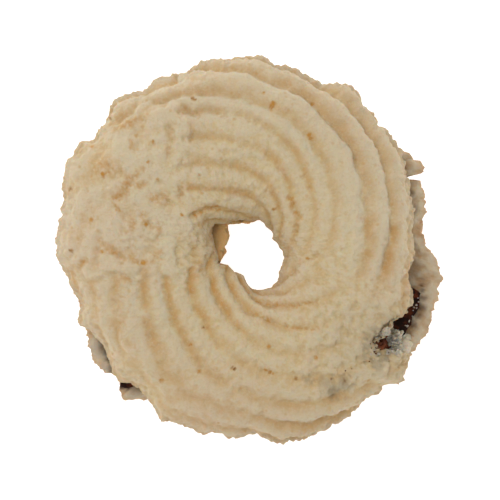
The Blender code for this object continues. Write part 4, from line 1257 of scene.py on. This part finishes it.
def heap_of(name, places, fine_grains, seed):
    """Knobbly grains, each lying on what is below it, joined into one piece."""
    chance = random.Random(seed)
    wanted = list(places)
    for place_x, place_y, breadth in places:
        powdered = breadth > BARE_BREADTH and place_x < FLAKES_X
        for _ in range(round(fine_grains * breadth) if powdered else 0):
            turn = chance.uniform(0.0, math.tau)
            away = chance.uniform(*FINE_AWAY) * breadth
            wanted.append((place_x + away * math.cos(turn), place_y + away * math.sin(turn),
                           chance.uniform(*FINE_BREADTH)))
    grains = []
    for place_x, place_y, breadth in wanted:
        levels = 3 if breadth > SMOOTH_BREADTH else 2
        bpy.ops.mesh.primitive_ico_sphere_add(subdivisions=levels, radius=1.0)
        grain = bpy.context.object
        start = Vector((place_x * MM, place_y * MM, DROP_Z))
        below = (upper.piece, lower.piece, layer)
        found = [piece.ray_cast(start, (0.0, 0.0, -1.0)) for piece in below]
        ground_z = max(place.z for hit, place, *_ in found if hit)
        for _, other_x, other_y, other_z, other_breadth in grains:
            away = math.hypot(place_x - other_x, place_y - other_y)
            if away < 0.5 * other_breadth:
                rise = CRUMB_HEIGHT * math.sqrt(0.25 * other_breadth ** 2 - away ** 2)
                ground_z = max(ground_z, other_z + rise * MM)
        stretch = Vector((chance.uniform(0.8, 1.2), chance.uniform(0.8, 1.2), CRUMB_HEIGHT))
        pattern = Vector([chance.uniform(-PATTERN_RANGE, PATTERN_RANGE) for _ in range(3)])
        middle_z = ground_z + breadth * MM * (0.5 * CRUMB_HEIGHT - CRUMB_SUNK)
        middle = Vector((place_x * MM, place_y * MM, middle_z))
        for point in grain.data.vertices:
            knob = 1.0
            for share, count in CRUMB_KNOBS:
                knob += share * noise.noise(point.co * count + pattern)
            point.co = middle + point.co * stretch * (0.5 * breadth * MM * knob)
        grains.append((grain, place_x, place_y, middle_z, breadth))
    bpy.ops.object.select_all(action="DESELECT")
    for grain, *_ in grains:
        grain.select_set(True)
    bpy.context.view_layer.objects.active = grains[0][0]
    bpy.ops.object.join()
    heap = bpy.context.object
    heap.name = name
    heap.data.shade_smooth()
    bpy.ops.object.select_all(action="DESELECT")
    return heap


bpy.context.view_layer.update()
crumbs = heap_of("loose_dough_crumbs", DOUGH_CRUMBS, FINE_GRAINS, seed=3)
x, y, z = points_of(crumbs)
greyed_and_shaded = near(x, y, CRUMB_STAINS_AND_SHADE, CRUMB_STAIN_REACH)
# Dark specks, painted shade for the gaps between the grains.
gap_shade = patchy(lumps(x, y, z, CRUMB_GAP_SHADE_SIZE, octaves=2), middle=-0.2, swing=2.0, most=0.35)
for name, amount in (("stained_and_shaded", greyed_and_shaded), ("dark", greyed_and_shaded * gap_shade)):
    crumbs.data.attributes.new(name, "FLOAT", "POINT").data.foreach_set("value", amount)
# The inside of the dough: unbrowned, floury and a little greyed by the filling; greyed and
# darkened between the grains as painted shade.
crumbs.data.materials.clear()
crumbs.data.materials.append(baked_dough(
    "unbrowned_dough_crumb", crumb="#DDD0B8", mottled="#D3C5AC", rosy_and_shade="#D0C2AA",
    golden="#D0BC8E", floury_and_lit="#DDD2BC", toasted_and_shade="#C0A88C", buttery_and_painted_light="#B89868", greyed_and_shaded="#B0A69C"
))
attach(crumbs, "root")


# ---------------------------------------------------------------- Loose bits of filling
# Specks of the filling that were scattered over the dough where it broke, and one thin, redder
# smear of it between the crumbs, which is the largest of them.

# Place and breadth, in mm.
FILLING_BITS = (
    (20.8, -15.2, 3.2), (20.7, -15.1, 2.4), (20.8, -15.3, 1.6), (20.5, -14.9, 1.1),
    (20.9, -15.5, 0.9), (20.3, -15.4, 0.7), (21.1, -14.7, 0.7), (21.4, -15.1, 0.5),
    (20.1, -14.7, 0.4), (19.7, -16.2, 0.35), (20.0, -16.5, 0.25), (19.6, -14.7, 0.30),
    (19.1, -14.9, 0.20), (21.7, -13.7, 0.40), (22.0, -16.3, 0.40), (22.7, -15.5, 0.35),
    (18.9, -17.7, 0.25), (15.1, -19.1, 0.20), (21.9, -14.3, 0.40), (21.6, -15.4, 0.35),
    (19.3, -15.6, 0.20), (22.3, -12.7, 0.25), (24.2, -13.5, 0.25), (20.8, -13.9, 0.25),
    (16.1, -18.8, 0.15),
)
bits = heap_of("loose_filling_bits", FILLING_BITS, 0, seed=8)
bits.data.materials.clear()
bits.data.materials.append(
    sweet_paste("thin_sweet_paste", mass="#4A2414", thin="#7A4226", low=0.40, high=0.60)
)
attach(bits, "root")


# ---------------------------------------------------------------- Floor, light and camera
# A matt white table that glows a little, so that it stays white under the cookie. A large soft
# light hangs above and to the left, the rest comes evenly from all sides, and the camera looks
# straight down.

FLOOR_SIZE = 4.0
FLOOR_GLOW = 0.88
KEY_PLACE = (-0.30, 0.32, 0.92)
KEY_SIZE = 0.9
KEY_POWER = 4.45
SKY_POWER = 0.60
WIDEST_Z = 9.5 * MM
CAMERA_ABOVE = 0.60      # above the cookie's widest height
FIELD = 80 * MM          # what the picture is across, there
SENSOR = 36.0            # in mm
FARTHEST_SEEN = 20.0

bpy.ops.mesh.primitive_plane_add(size=FLOOR_SIZE)
floor = bpy.context.object
floor.name = "floor"
bpy.ops.object.select_all(action="DESELECT")
table = bpy.data.materials.new("white_matt_table")
table.use_nodes = True
table.node_tree.nodes.clear()
shader = add_node(table, "ShaderNodeBsdfPrincipled", {}, {
    "Base Color": linear("#D0D0D0"), "Roughness": 0.9, "Specular IOR Level": 0.0,
    "Emission Color": linear("#FFFFFF"), "Emission Strength": FLOOR_GLOW,
})
add_node(table, "ShaderNodeOutputMaterial", {}, {"Surface": shader.outputs["BSDF"]})
floor.data.materials.append(table)

bpy.ops.object.light_add(type="AREA", location=KEY_PLACE)
key = bpy.context.object
key.name = "key_light"
key.data.size = KEY_SIZE
key.data.energy = KEY_POWER
key.rotation_euler = Vector(KEY_PLACE).to_track_quat("Z", "Y").to_euler()

world = bpy.data.worlds.new("studio")
bpy.context.scene.world = world
world.use_nodes = True
world.node_tree.nodes["Background"].inputs["Color"].default_value = linear("#FFFFFF")
world.node_tree.nodes["Background"].inputs["Strength"].default_value = SKY_POWER

bpy.ops.object.camera_add(location=(0.0, 0.0, WIDEST_Z + CAMERA_ABOVE), rotation=(0.0, 0.0, 0.0))
camera = bpy.context.object
camera.name = "camera"
camera.data.sensor_width = SENSOR
camera.data.lens = SENSOR * CAMERA_ABOVE / FIELD
camera.data.clip_end = FARTHEST_SEEN
bpy.context.scene.camera = camera
bpy.context.scene.view_settings.view_transform = "Standard"
